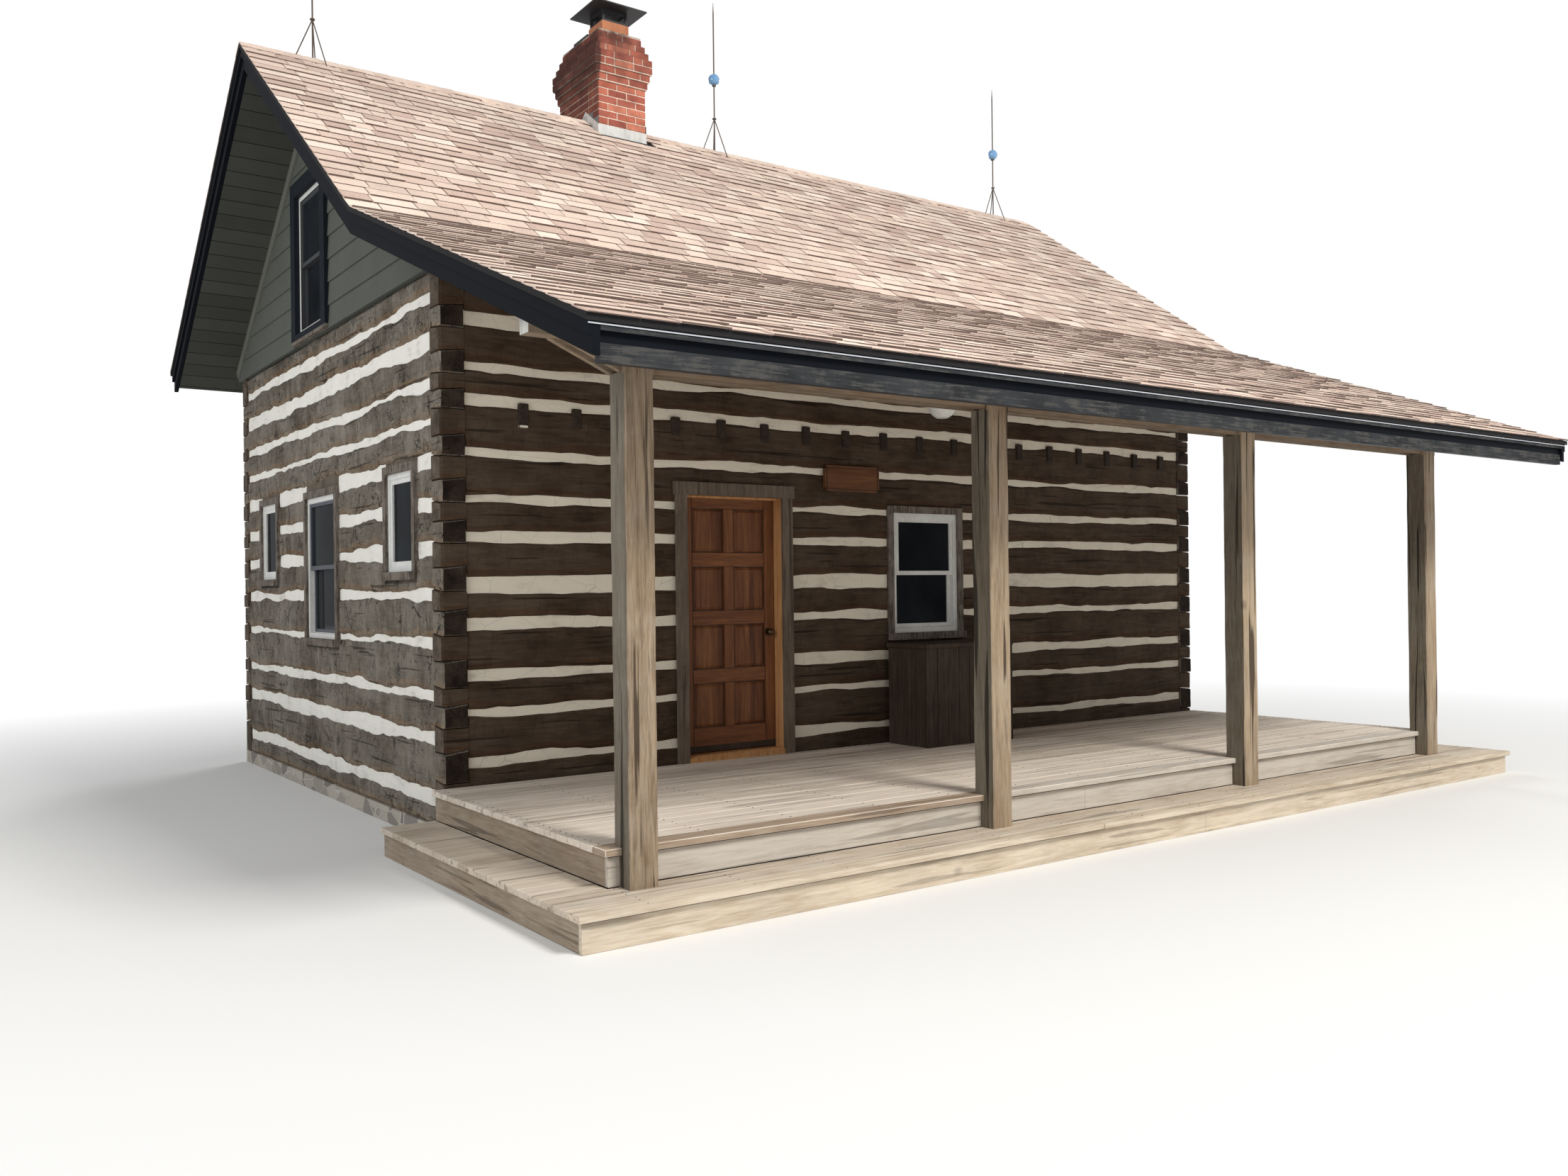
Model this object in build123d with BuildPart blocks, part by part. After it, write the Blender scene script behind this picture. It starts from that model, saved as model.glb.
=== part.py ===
from build123d import *
from math import asin, cos, hypot, pi, radians, sin
import os

os.makedirs("parts", exist_ok=True)

# Frame
# Sizes are in millimetres. Heights in the wall lists are counted from the porch deck,
# plan places from the outer corner of the front and left log walls. X runs along the front,
# Y to the rear, Z up. At the end each piece is moved so that the origin is on the ground,
# under the middle of the whole building.

# Log walls
wall_length = 8150
wall_depth = 5680
log_thickness = 180
deck_height = 400
foundation_height = 120
wall_top = 3570
log_chamfer = 20
seat_slope = 0.12
front_joints = [163, 504, 757, 1110, 1385, 1720, 1980, 2305, 2674, 2900, 3230]
front_gaps = [54, 40, 62, 62, 110, 56, 46, 50, 64, 44, 90]
gable_joints = [-90, 320, 615, 980, 1320, 1640, 1940, 2250, 2530, 2790, 3090, 3380]
gable_gaps = [90, 96, 62, 44, 64, 90, 80, 110, 44, 48, 110, 58]
cut_past = 5

# Foundation and floors
foundation_thickness = 300
floor_thickness = 40
floor_gap = 5
joist_width = 70
joist_height = 125
joist_spacing = 416.5
first_joist = 610
joist_count = 18
loft_board = 30
joist_level = 2500

# Roof
roof_pitch = 0.718
ridge_height = 5944
knee_out = 107
porch_pitch = 0.3916
porch_reach = 3409
rear_overhang = 329
rake_overhang = 615
roof_skin = 30
skin_lip = 14
rafter_depth = 130
rafter_width = 38
rafter_bays = 14
ridge_board_width = 38
ridge_board_depth = 200
soffit_board = 16
board_joint = 2
fascia_upper = 60
fascia_step = 20
fascia_lower_end = 172
fascia_back = 58
eave_upper_height = 72
eave_board_height = 170

# Plates and gable walls
plate_width = 140
plate_height = 170
gable_wall_thickness = 120
gable_wall_proud = 20

# Porch
post_size = 175
inner_posts = [2605, 5275]
post_front = 2600
post_top = 2460
post_tongue = 35
header_plank = 38
header_height = 150
header_taper = 350
porch_plate_size = 100
porch_plate_reach = 500
deck_side = 94
deck_right = 34
deck_front = 2510
deck_board = 38
nosing = 30
skirt_board = 30
frame_joint = 1
deck_joist_spacing = 600
deck_joist_depth = 140
deck_joist_width = 38
step_side = 349
step_right = 640
step_front = 392
step_rise = 206
tread_gap = 3

# Doorway
door_left = 1940
door_clear_width = 900
door_clear_top = 2066
jamb_thickness = 25
leaf_gap = 7
leaf_thickness = 44
leaf_inset = 96
leaf_bottom = 58
threshold_height = 50
stop_width = 14
stop_depth = 36
casing_width = 100
casing_thickness = 25
casing_head_proud = 5
casing_horn = 16
stile = 100
mullion = 92
rail_top = 84
rail_bottom = 190
rail_middle = 110
panel_depth = 12
panel_border = 32
panel_rows = 4
panel_columns = 2
knob_height = 985
knob_inset = 65
knob_radius = 28
knob_neck = 11
knob_reach = 62
knob_sides = 16
knob_bands = 6
rose_radius = 32
rose_thickness = 8
pin_out = 11
hinge_height = 100
hinge_knuckle = 6
hinge_pin = 3
hinge_end = 28
hinge_play = 0.3
hinge_leaf = 2
hinge_leaf_width = 36
hinge_levels = [200, 1000, 1800]

# Windows
trim_width = 60
trim_proud = 12
frame_depth = 90
frame_border = 42
sash_border = 36
sash_depth = 34
frame_recess = 12
sash_recess = 8
glass_thickness = 6
front_window = (4034, 938, 758, 1044)
gable_windows = [(565, 1490, 570, 732, "casement"), (2454, 951, 865, 1231, "hung"),
                 (4358, 1482, 566, 732, "casement")]
upper_window = (2585, 3650, 785, 1230)
upper_trim = 130
upper_trim_proud = 45
rear_windows = [(1500, 938, 758, 1044), (5890, 938, 758, 1044)]
sill_height = 60
sill_proud = 48

# Chimney
chimney_left = 2576
chimney_gap = 20
brick_length = 212
brick_course = 71.4
chimney_bricks = 2.5
mortar = 10
chimney_top = 6790
corbel_step = 24
corbel_rows = 3
return_step = 20
return_rows = 4
flue_size = 290
flue_wall = 25
flue_show = 140
flue_length = 600
cap_box = 270
cap_height = 120
cap_post = 24
cap_lid = 560
cap_lid_edge = 12
cap_lid_rise = 34
cap_lid_flat = 210
flashing_height = 98
flashing_sheet = 6

# Lightning rods
rod_radius = 7
rod_sides = 8
rod_point = 1.5
rod_height = 1570
rod_end_shift = 30
ring_height = 350
leg_spread = 150
leg_radius = 5
leg_angles = [64, 184, -56]
collar_height = 700
collar_radius = 22
collar_thickness = 10
ball_radius = 60
ball_sides = 16
ball_bands = 8
ball_clearance = 0.3
tip_length = 120

# Fittings on the porch
sign_left = 3275
sign_bottom = 2144
sign_width = 583
sign_height = 214
sign_thickness = 30
sign_notch = 28
box_left = 3920
box_width = 980
box_depth = 536
box_height = 860
box_board = 24
box_lid = 38
box_lid_lip = 18
lamp_x = 3430
lamp_y = -1200
lamp_bottom = 2625
lamp_shade_height = 120
lamp_shade_radius = 150
lamp_profile = [(0.3, 0), (0.5, 0.16), (0.64, 0.4), (0.78, 0.66), (1, 1)]
lamp_sides = 24
lamp_stem_radius = 10
lamp_rose_radius = 60
lamp_rose_thickness = 20

# Levels above the ground
ground_to = deck_height
base = foundation_height
top = wall_top + ground_to
front_levels = [base] + [z + ground_to for z in front_joints] + [top]
gable_levels = [base] + [z + ground_to for z in gable_joints] + [top]
ridge_y = wall_depth / 2
ridge_z = ridge_height + ground_to
knee_y = -knee_out
knee_z = ridge_z - roof_pitch * (ridge_y - knee_y)
rear_eave_y = wall_depth + rear_overhang
front_eave_y = -porch_reach
soffit_level = roof_skin + rafter_depth
roof_left = -rake_overhang
roof_width = wall_length + 2 * rake_overhang
post_lefts = [0] + inner_posts + [wall_length - post_size]
chimney_size = chimney_bricks * brick_length - mortar


# Roof lines
def main_z(y, depth=0):
    return ridge_z - roof_pitch * abs(y - ridge_y) - depth * hypot(1, roof_pitch)


def porch_z(y, depth=0):
    return knee_z - porch_pitch * (knee_y - y) - depth * hypot(1, porch_pitch)


def knee_at(depth):
    drop = depth * (hypot(1, roof_pitch) - hypot(1, porch_pitch))
    return knee_y + drop / (roof_pitch - porch_pitch)


def roof_line(depth, rear_y, front_y):
    knee = knee_at(depth)
    return [(rear_y, main_z(rear_y, depth)), (ridge_y, main_z(ridge_y, depth)), (knee, porch_z(knee, depth)),
            (front_y, porch_z(front_y, depth))]


def roof_band(upper, lower, rear_y, front_y):
    return roof_line(upper, rear_y, front_y) + roof_line(lower, rear_y, front_y)[::-1]


def slab_along_x(points, x0, length):
    with BuildPart() as slab:
        with BuildSketch(Plane.YZ.offset(x0)):
            Polygon(*points, align=None)
        extrude(amount=length)
    return slab.part


def slab_along_y(points, y0, length):
    with BuildPart() as slab:
        with BuildSketch(Plane.XZ.offset(-y0)):
            Polygon(*points, align=None)
        extrude(amount=-length)
    return slab.part


def middle(a, b):
    return (a + b) / 2


def block(x0, x1, y0, y1, z0, z1):
    with BuildPart() as body:
        with Locations((x0, y0, z0)):
            Box(x1 - x0, y1 - y0, z1 - z0, align=(Align.MIN, Align.MIN, Align.MIN))
    return body.part


# Corner notches
# Each log end lies between two seats. A front log sits on a gable log on a seat that falls
# outwards along X, and a gable log sits on a front log on one that falls outwards along Y.
def seat_rise():
    return seat_slope * log_thickness / 2


def front_log_end(low, high, flat_low, flat_high):
    drop = 0 if flat_low else seat_rise()
    rise = 0 if flat_high else seat_rise()
    t = log_thickness
    with BuildPart() as end:
        with BuildSketch(Plane.XZ):
            Polygon((0, low - drop), (t, low + drop), (t, high + rise), (0, high + rise), align=None)
        extrude(amount=-t)
        if rise:
            with BuildSketch(Plane.YZ):
                Polygon((0, high - rise), (t, high + rise), (0, high + rise), align=None)
            extrude(amount=t, mode=Mode.SUBTRACT)
    return end.part


def gable_log_end(low, high):
    rise = seat_rise()
    t = log_thickness
    with BuildPart() as end:
        with BuildSketch(Plane.YZ):
            Polygon((0, low - rise), (t, low + rise), (t, high + rise), (0, high + rise), align=None)
        extrude(amount=t)
        with BuildSketch(Plane.XZ):
            Polygon((0, high - rise), (t, high + rise), (0, high + rise), align=None)
        extrude(amount=-t, mode=Mode.SUBTRACT)
    return end.part


def log_section(low, high):
    t, c = log_thickness, log_chamfer
    return [(c, low), (t - c, low), (t, low + c), (t, high - c), (t - c, high), (c, high), (0, high - c),
            (0, low + c)]


def log_faces(levels, gaps, k):
    low = levels[k] + (gaps[k - 1] / 2 if k > 0 else 0)
    high = levels[k + 1] - (gaps[k] / 2 if k < len(gaps) else 0)
    return low, high


def front_log(k):
    low, high = log_faces(front_levels, front_gaps, k)
    seat = gable_levels[k + 1]
    end_low = base if k == 0 else middle(front_levels[k], seat)
    last = k + 2 == len(front_levels)
    end_high = top if last else middle(seat, front_levels[k + 1])
    end = front_log_end(end_low, end_high, k == 0, last)
    span = slab_along_x(log_section(low, high), log_thickness, wall_length - 2 * log_thickness)
    return span + end + mirror(end, Plane.YZ.offset(wall_length / 2))


def gable_log(k):
    low, high = log_faces(gable_levels, gable_gaps, k)
    span = slab_along_y(log_section(low, high), log_thickness, wall_depth - 2 * log_thickness)
    if k == 0 or k + 2 == len(gable_levels):
        return span
    seat = front_levels[k]
    end = gable_log_end(middle(gable_levels[k], seat), middle(seat, gable_levels[k + 1]))
    return span + end + mirror(end, Plane.XZ.offset(-wall_depth / 2))


def front_strip(z, gap):
    c = log_chamfer
    return block(log_thickness, wall_length - log_thickness, c, log_thickness - c, z - gap / 2, z + gap / 2)


def gable_strip(z, gap):
    c = log_chamfer
    return block(c, log_thickness - c, log_thickness, wall_depth - log_thickness, z - gap / 2, z + gap / 2)


front_logs = [front_log(k) for k in range(len(front_levels) - 1)]
gable_logs = [gable_log(k) for k in range(len(gable_levels) - 1)]
front_strips = [front_strip(z, gap) for z, gap in zip(front_levels[1:], front_gaps)]
gable_strips = [gable_strip(z, gap) for z, gap in zip(gable_levels[1:], gable_gaps)]
to_rear = Plane.XZ.offset(-wall_depth / 2)
to_right = Plane.YZ.offset(wall_length / 2)


# Openings cut through the walls
wall_cut = (-cut_past, log_thickness + cut_past)


def through_x_wall(x0, width, z0, height, y0=0):
    return block(x0, x0 + width, y0 + wall_cut[0], y0 + wall_cut[1], z0 + ground_to, z0 + height + ground_to)


def through_y_wall(y0, width, z0, height):
    return block(*wall_cut, y0, y0 + width, z0 + ground_to, z0 + height + ground_to)


def trimmed(x, z, width, height):
    return x - trim_width, width + 2 * trim_width, z - sill_height, height + trim_width + sill_height


rough_left = door_left - jamb_thickness
rough_width = door_clear_width + 2 * jamb_thickness
rough_top = door_clear_top + jamb_thickness
rough_right = rough_left + rough_width
front_window_cut = through_x_wall(*trimmed(*front_window))
gable_cuts = [through_y_wall(*trimmed(y, z, w, h)) for y, z, w, h, kind in gable_windows]
rear_cuts = [through_x_wall(*trimmed(x, z, w, h), y0=wall_depth - log_thickness)
             for x, z, w, h in rear_windows]


def joist_place(k):
    return first_joist + k * joist_spacing


joist_course = max(k for k in range(len(front_joints)) if front_joints[k] < joist_level)
joist_top = front_levels[joist_course + 2] - front_gaps[joist_course + 1] / 2
joist_places = [joist_place(k) for k in range(joist_count) if joist_place(k) < wall_length - log_thickness]


# Chimney place, shared by the floors and the roof
chimney_back = ridge_y - chimney_size / 2


def chimney_hole(gap, z0, z1):
    return block(chimney_left - gap, chimney_left + chimney_size + gap, chimney_back - gap,
                 chimney_back + chimney_size + gap, z0, z1)


# Moving the finished pieces to the middle of the building
left_reach = max(rake_overhang + skin_lip, deck_side + step_side)
right_reach = max(rake_overhang + skin_lip, deck_right + step_right)
front_reach = porch_reach + skin_lip
rear_reach = rear_overhang + skin_lip
middle_x = (wall_length + right_reach - left_reach) / 2
middle_y = (wall_depth + rear_reach - front_reach) / 2
to_frame = Location((-middle_x, -middle_y, 0))


def keep(part, name):
    placed = part.moved(to_frame)
    placed.label = name
    export_step(placed, f"parts/{name}.step")
    print(name, len(placed.solids()), "solids")


# Foundation: a ring under the logs with a higher inner ledge that carries the floor
with BuildPart() as foundation:
    with BuildSketch():
        Rectangle(wall_length, wall_depth, align=Align.MIN)
        with Locations((foundation_thickness, foundation_thickness)):
            Rectangle(wall_length - 2 * foundation_thickness, wall_depth - 2 * foundation_thickness,
                      align=Align.MIN, mode=Mode.SUBTRACT)
    extrude(amount=foundation_height)
    with BuildSketch(Plane.XY.offset(foundation_height)):
        with Locations((log_thickness + floor_gap, log_thickness + floor_gap)):
            Rectangle(wall_length - 2 * (log_thickness + floor_gap),
                      wall_depth - 2 * (log_thickness + floor_gap), align=Align.MIN)
        with Locations((foundation_thickness, foundation_thickness)):
            Rectangle(wall_length - 2 * foundation_thickness, wall_depth - 2 * foundation_thickness,
                      align=Align.MIN, mode=Mode.SUBTRACT)
    extrude(amount=ground_to - floor_thickness - foundation_height)
keep(foundation.part, "foundation")

# Ground floor inside the walls, with a hole for the chimney
inner = log_thickness
with BuildPart() as main_floor:
    add(block(inner, wall_length - inner, inner, wall_depth - inner, ground_to - floor_thickness, ground_to))
    add(chimney_hole(chimney_gap, 0, ground_to + cut_past), mode=Mode.SUBTRACT)
keep(main_floor.part, "main_floor")

# Loft joists run through pockets in the front and rear walls
pocket_low = joist_top - joist_height
with BuildPart() as loft_joists:
    for x in joist_places:
        add(block(x - joist_width / 2, x + joist_width / 2, 0, wall_depth, pocket_low, joist_top))
    add(chimney_hole(chimney_gap, pocket_low - cut_past, joist_top + cut_past), mode=Mode.SUBTRACT)
keep(loft_joists.part, "loft_joists")

with BuildPart() as loft_floor:
    add(block(inner, wall_length - inner, inner, wall_depth - inner, joist_top, joist_top + loft_board))
    add(chimney_hole(chimney_gap, joist_top - cut_past, joist_top + loft_board + cut_past),
        mode=Mode.SUBTRACT)
keep(loft_floor.part, "loft_floor")


def joist_pockets(y0):
    return [block(x - joist_width / 2, x + joist_width / 2, y0 + wall_cut[0], y0 + wall_cut[1], pocket_low,
                  joist_top + cut_past) for x in joist_places]


# Front wall: the doorway splits the lower courses, and the window splits three of them
door_courses = [k for k in range(len(front_levels) - 1) if front_levels[k] < rough_top + ground_to]
upper_courses = [k for k in range(len(front_levels) - 1) if k not in door_courses]
left_of_door = block(-cut_past, rough_left, *wall_cut, 0, top + cut_past)
right_of_door = block(rough_right, wall_length + cut_past, *wall_cut, 0, top + cut_past)
door_hole = block(rough_left, rough_right, *wall_cut, ground_to, rough_top + ground_to)
door_column = block(rough_left, rough_right, *wall_cut, 0, top + cut_past)
with BuildPart() as front_logs_left:
    add([front_logs[k] for k in door_courses])
    add([door_column, right_of_door], mode=Mode.SUBTRACT)
keep(front_logs_left.part, "front_logs_left")

with BuildPart() as front_logs_right:
    add([front_logs[k] for k in door_courses])
    add([left_of_door, door_column, front_window_cut], mode=Mode.SUBTRACT)
keep(front_logs_right.part, "front_logs_right")

with BuildPart() as doorway_logs:
    add([front_logs[door_courses[0]], front_logs[door_courses[-1]]])
    add([left_of_door, right_of_door, door_hole], mode=Mode.SUBTRACT)
keep(doorway_logs.part, "doorway_logs")

with BuildPart() as front_logs_top:
    add([front_logs[k] for k in upper_courses])
    add(joist_pockets(0), mode=Mode.SUBTRACT)
keep(front_logs_top.part, "front_logs_top")

with BuildPart() as front_chinking:
    add(front_strips + [mirror(strip, to_rear) for strip in front_strips])
    add([door_hole, front_window_cut] + rear_cuts, mode=Mode.SUBTRACT)

# Rear wall: the same courses, with two windows and the same joist pockets
with BuildPart() as rear_logs:
    add([mirror(log, to_rear) for log in front_logs])
    add(rear_cuts + joist_pockets(wall_depth - log_thickness), mode=Mode.SUBTRACT)
keep(rear_logs.part, "rear_logs")

# Gable walls of logs
with BuildPart() as left_logs:
    add(gable_logs)
    add(gable_cuts, mode=Mode.SUBTRACT)
keep(left_logs.part, "left_logs")
keep(mirror(left_logs.part, to_right), "right_logs")

with BuildPart() as left_chinking:
    add(gable_strips)
    add(gable_cuts, mode=Mode.SUBTRACT)
with BuildPart() as wall_chinking:
    add([front_chinking.part, left_chinking.part, mirror(left_chinking.part, to_right)])
keep(wall_chinking.part, "wall_chinking")

# Plates on the front and rear walls, which carry the rafters
front_plate = block(0, wall_length, 0, plate_width, top, top + plate_height)
rear_plate = mirror(front_plate, to_rear)
with BuildPart() as wall_plates:
    add(front_plate)
    add(rear_plate)
keep(wall_plates.part, "wall_plates")

# Framed gable walls above the logs, with the upper window cut through
gable_inside = gable_wall_thickness - gable_wall_proud
uy, uz, uw, uh = upper_window
with BuildPart() as left_gable_wall:
    with BuildSketch(Plane.YZ.offset(-gable_wall_proud)):
        Polygon((0, top), (0, main_z(0, roof_skin)), (ridge_y, main_z(ridge_y, roof_skin)),
                (wall_depth, main_z(wall_depth, roof_skin)), (wall_depth, top), align=None)
    extrude(amount=gable_wall_thickness)
    add(front_plate, mode=Mode.SUBTRACT)
    add(rear_plate, mode=Mode.SUBTRACT)
    add(block(-gable_wall_thickness, gable_wall_thickness, uy, uy + uw, uz + ground_to, uz + uh + ground_to),
        mode=Mode.SUBTRACT)
with BuildPart() as gable_walls:
    add([left_gable_wall.part, mirror(left_gable_wall.part, to_right)])
keep(gable_walls.part, "gable_walls")

# Rafters, cut over the plates, and the ridge board between them
rafter_step = (wall_length - 2 * gable_inside - rafter_width) / rafter_bays
rafter_places = [gable_inside + k * rafter_step for k in range(rafter_bays + 1)]
ridge_half = ridge_board_width / 2


def main_rafter_line(y0, y1):
    return [(y0, main_z(y0, roof_skin)), (y1, main_z(y1, roof_skin)), (y1, main_z(y1, soffit_level)),
            (y0, main_z(y0, soffit_level))]


rafter_foot = knee_at(roof_skin)
board_top = main_z(ridge_y + ridge_half, roof_skin)
rafter_lines = [main_rafter_line(ridge_y - ridge_half, rafter_foot),
                main_rafter_line(ridge_y + ridge_half, rear_eave_y - fascia_back)]
with BuildPart() as main_rafters:
    add([slab_along_x(line, x, rafter_width) for line in rafter_lines for x in rafter_places])
    add([front_plate, rear_plate, chimney_hole(chimney_gap, top, ridge_z)], mode=Mode.SUBTRACT)
keep(main_rafters.part, "main_rafters")

with BuildPart() as ridge_board:
    add(block(gable_inside, wall_length - gable_inside, ridge_y - ridge_half, ridge_y + ridge_half,
              board_top - ridge_board_depth, board_top))
    add(chimney_hole(chimney_gap, top, ridge_z), mode=Mode.SUBTRACT)
keep(ridge_board.part, "ridge_board")

# Porch beam: two planks on the posts with tapered ends, and a plate on top
porch_back = -post_front + post_size
header_low = post_top + ground_to
header_high = header_low + header_height
header_front = -post_front + post_tongue
header_outline = [(0, header_low), (wall_length, header_low), (wall_length + header_taper, header_high),
                  (-header_taper, header_high)]
plate_y = middle(header_front, porch_back) - porch_plate_size / 2
porch_plate_block = block(-porch_plate_reach, wall_length + porch_plate_reach, plate_y,
                          plate_y + porch_plate_size, header_high, header_high + porch_plate_size)
with BuildPart() as porch_beam:
    add(slab_along_y(header_outline, header_front, header_plank))
    add(slab_along_y(header_outline, porch_back - header_plank, header_plank))
    add(porch_plate_block)
keep(porch_beam.part, "porch_beam")

with BuildPart() as porch_rafters:
    porch_line = [(rafter_foot, porch_z(rafter_foot, roof_skin)),
                  (front_eave_y + fascia_back, porch_z(front_eave_y + fascia_back, roof_skin)),
                  (front_eave_y + fascia_back, porch_z(front_eave_y + fascia_back, soffit_level)),
                  (rafter_foot, porch_z(rafter_foot, soffit_level))]
    add([slab_along_x(porch_line, x, rafter_width) for x in rafter_places])
    add(porch_plate_block, mode=Mode.SUBTRACT)
keep(porch_rafters.part, "porch_rafters")

# Roof skins: boards and shingles as one slab on each slope
skin_left = roof_left - skin_lip
skin_width = roof_width + 2 * skin_lip
knee_low = knee_at(roof_skin)
with BuildPart() as front_roof:
    add(slab_along_x([(ridge_y, ridge_z), (knee_y, knee_z), (knee_low, porch_z(knee_low, roof_skin)),
                      (ridge_y, main_z(ridge_y, roof_skin))], skin_left, skin_width))
    add(chimney_hole(0, top, ridge_z + cut_past), mode=Mode.SUBTRACT)
keep(front_roof.part, "front_roof")

rear_skin_y = rear_eave_y + skin_lip
with BuildPart() as rear_roof:
    add(slab_along_x([(ridge_y, ridge_z), (rear_skin_y, main_z(rear_skin_y)),
                      (rear_skin_y, main_z(rear_skin_y, roof_skin)), (ridge_y, main_z(ridge_y, roof_skin))],
                     skin_left, skin_width))
    add(chimney_hole(0, top, ridge_z + cut_past), mode=Mode.SUBTRACT)
keep(rear_roof.part, "rear_roof")

front_skin_y = front_eave_y - skin_lip
with BuildPart() as porch_roof:
    add(slab_along_x([(knee_y, knee_z), (front_skin_y, porch_z(front_skin_y)),
                      (front_skin_y, porch_z(front_skin_y, roof_skin)),
                      (knee_low, porch_z(knee_low, roof_skin))], skin_left, skin_width))
keep(porch_roof.part, "porch_roof")

# Boards that follow the roof line, one on each slope, with a small joint at ridge and knee
def roof_boards(upper, lower, rear_y, front_y):
    gap = board_joint / 2
    rear_top, front_top, knee_top = ridge_y + gap, ridge_y - gap, knee_at(upper)
    knee_bottom = knee_at(lower)
    rear = [(rear_y, main_z(rear_y, upper)), (rear_top, main_z(rear_top, upper)),
            (rear_top, main_z(rear_top, lower)), (rear_y, main_z(rear_y, lower))]
    front = [(front_top, main_z(front_top, upper)), (knee_top + gap, main_z(knee_top + gap, upper)),
             (knee_bottom + gap, main_z(knee_bottom + gap, lower)), (front_top, main_z(front_top, lower))]
    porch = [(knee_top - gap, porch_z(knee_top - gap, upper)), (front_y, porch_z(front_y, upper)),
             (front_y, porch_z(front_y, lower)), (knee_bottom - gap, porch_z(knee_bottom - gap, lower))]
    return [rear, front, porch]


# Rake boards: an upper board that stands out over a wider lower one
rake_upper = roof_boards(roof_skin, roof_skin + fascia_upper, rear_eave_y, front_eave_y)
rake_lower = roof_boards(roof_skin + fascia_upper, fascia_lower_end, rear_eave_y, front_eave_y)
left_rakes = [slab_along_x(high, roof_left, fascia_back)
              + slab_along_x(low, roof_left + fascia_step, fascia_back - fascia_step)
              for high, low in zip(rake_upper, rake_lower)]
with BuildPart() as rake_boards:
    add(left_rakes + [mirror(board, to_right) for board in left_rakes])
keep(rake_boards.part, "rake_boards")


# Eave fascias between the rake boards, stepped in the same way
def eave_fascia(outer, inward, z_at):
    back = outer + inward * fascia_back
    step = outer + inward * fascia_step
    high_outer, high_back = z_at(outer, roof_skin), z_at(back, roof_skin)
    low = z_at(outer) - eave_board_height
    mid = z_at(outer) - eave_upper_height
    return [(outer, high_outer), (back, high_back), (back, low), (step, low), (step, mid), (outer, mid)]


fascia_left = roof_left + fascia_back
fascia_run = roof_width - 2 * fascia_back
with BuildPart() as eave_fascias:
    add(slab_along_x(eave_fascia(front_eave_y, 1, porch_z), fascia_left, fascia_run))
    add(slab_along_x(eave_fascia(rear_eave_y, -1, main_z), fascia_left, fascia_run))
keep(eave_fascias.part, "eave_fascias")

# Soffits under the rakes and the rear eave
soffit_low = soffit_level + soffit_board
soffit_lines = roof_boards(soffit_level, soffit_low, rear_eave_y - fascia_back, front_eave_y + fascia_back)
left_soffits = [slab_along_x(line, roof_left + fascia_back, rake_overhang - fascia_back - gable_wall_proud)
                for line in soffit_lines]
rear_soffit = slab_along_x([(wall_depth, main_z(wall_depth, soffit_level)),
                            (rear_eave_y - fascia_back, main_z(rear_eave_y - fascia_back, soffit_level)),
                            (rear_eave_y - fascia_back, main_z(rear_eave_y - fascia_back, soffit_low)),
                            (wall_depth, main_z(wall_depth, soffit_low))],
                           -gable_wall_proud + board_joint,
                           wall_length + 2 * gable_wall_proud - 2 * board_joint)
with BuildPart() as soffits:
    add(left_soffits + [mirror(soffit, to_right) for soffit in left_soffits] + [rear_soffit])
    add(porch_plate_block, mode=Mode.SUBTRACT)
keep(soffits.part, "soffits")

# Porch posts: notched over the deck's edge, with a tongue in front of the beam
deck_edge = -deck_front
step_top = ground_to - step_rise
with BuildPart() as porch_posts:
    for x in post_lefts:
        add(block(x, x + post_size, -post_front, porch_back, step_top, header_low))
        add(block(x, x + post_size, -post_front, header_front, header_low, header_high))
    add(block(-cut_past, wall_length + cut_past, deck_edge, porch_back + cut_past, 0, ground_to),
        mode=Mode.SUBTRACT)
keep(porch_posts.part, "porch_posts")

# Porch deck on a frame of skirts and joists
deck_left_x = -deck_side
deck_right_x = wall_length + deck_right
with BuildPart() as porch_deck:
    add(block(deck_left_x, deck_right_x, deck_edge, 0, ground_to - deck_board, ground_to))
keep(porch_deck.part, "porch_deck")

# Boards under the deck: a skirt on three sides, a ledger at the wall and joists between them
frame_top = ground_to - deck_board
joist_low = frame_top - deck_joist_depth
skirt_left = deck_left_x + nosing
skirt_right = deck_right_x - nosing
skirt_front = deck_edge + nosing
behind_skirt = skirt_front + skirt_board + frame_joint
inside_left = skirt_left + skirt_board + frame_joint
inside_right = skirt_right - skirt_board - frame_joint
deck_joist_count = int((skirt_right - skirt_left) // deck_joist_spacing)
deck_joist_step = (skirt_right - skirt_left) / (deck_joist_count + 1)
deck_joist_back = -deck_joist_width - frame_joint
with BuildPart() as deck_boards:
    add(block(skirt_left, skirt_right, skirt_front, skirt_front + skirt_board, 0, frame_top))
    add(block(skirt_left, skirt_left + skirt_board, behind_skirt, 0, 0, frame_top))
    add(block(skirt_right - skirt_board, skirt_right, behind_skirt, 0, 0, frame_top))
    add(block(inside_left, inside_right, -deck_joist_width, 0, joist_low, frame_top))
    for k in range(1, deck_joist_count + 1):
        x = skirt_left + k * deck_joist_step
        add(block(x, x + deck_joist_width, behind_skirt, deck_joist_back, joist_low, frame_top))

# Lower step along the front and both ends of the deck
step_left_x = deck_left_x - step_side
step_right_x = deck_right_x + step_right
step_front_y = deck_edge - step_front
tread_low = step_top - deck_board
with BuildPart() as step_treads:
    add(block(step_left_x, step_right_x, step_front_y, skirt_front, tread_low, step_top))
    add(block(step_left_x, skirt_left, skirt_front + tread_gap, 0, tread_low, step_top))
    add(block(skirt_right, step_right_x, skirt_front + tread_gap, 0, tread_low, step_top))
keep(step_treads.part, "step_treads")

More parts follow.
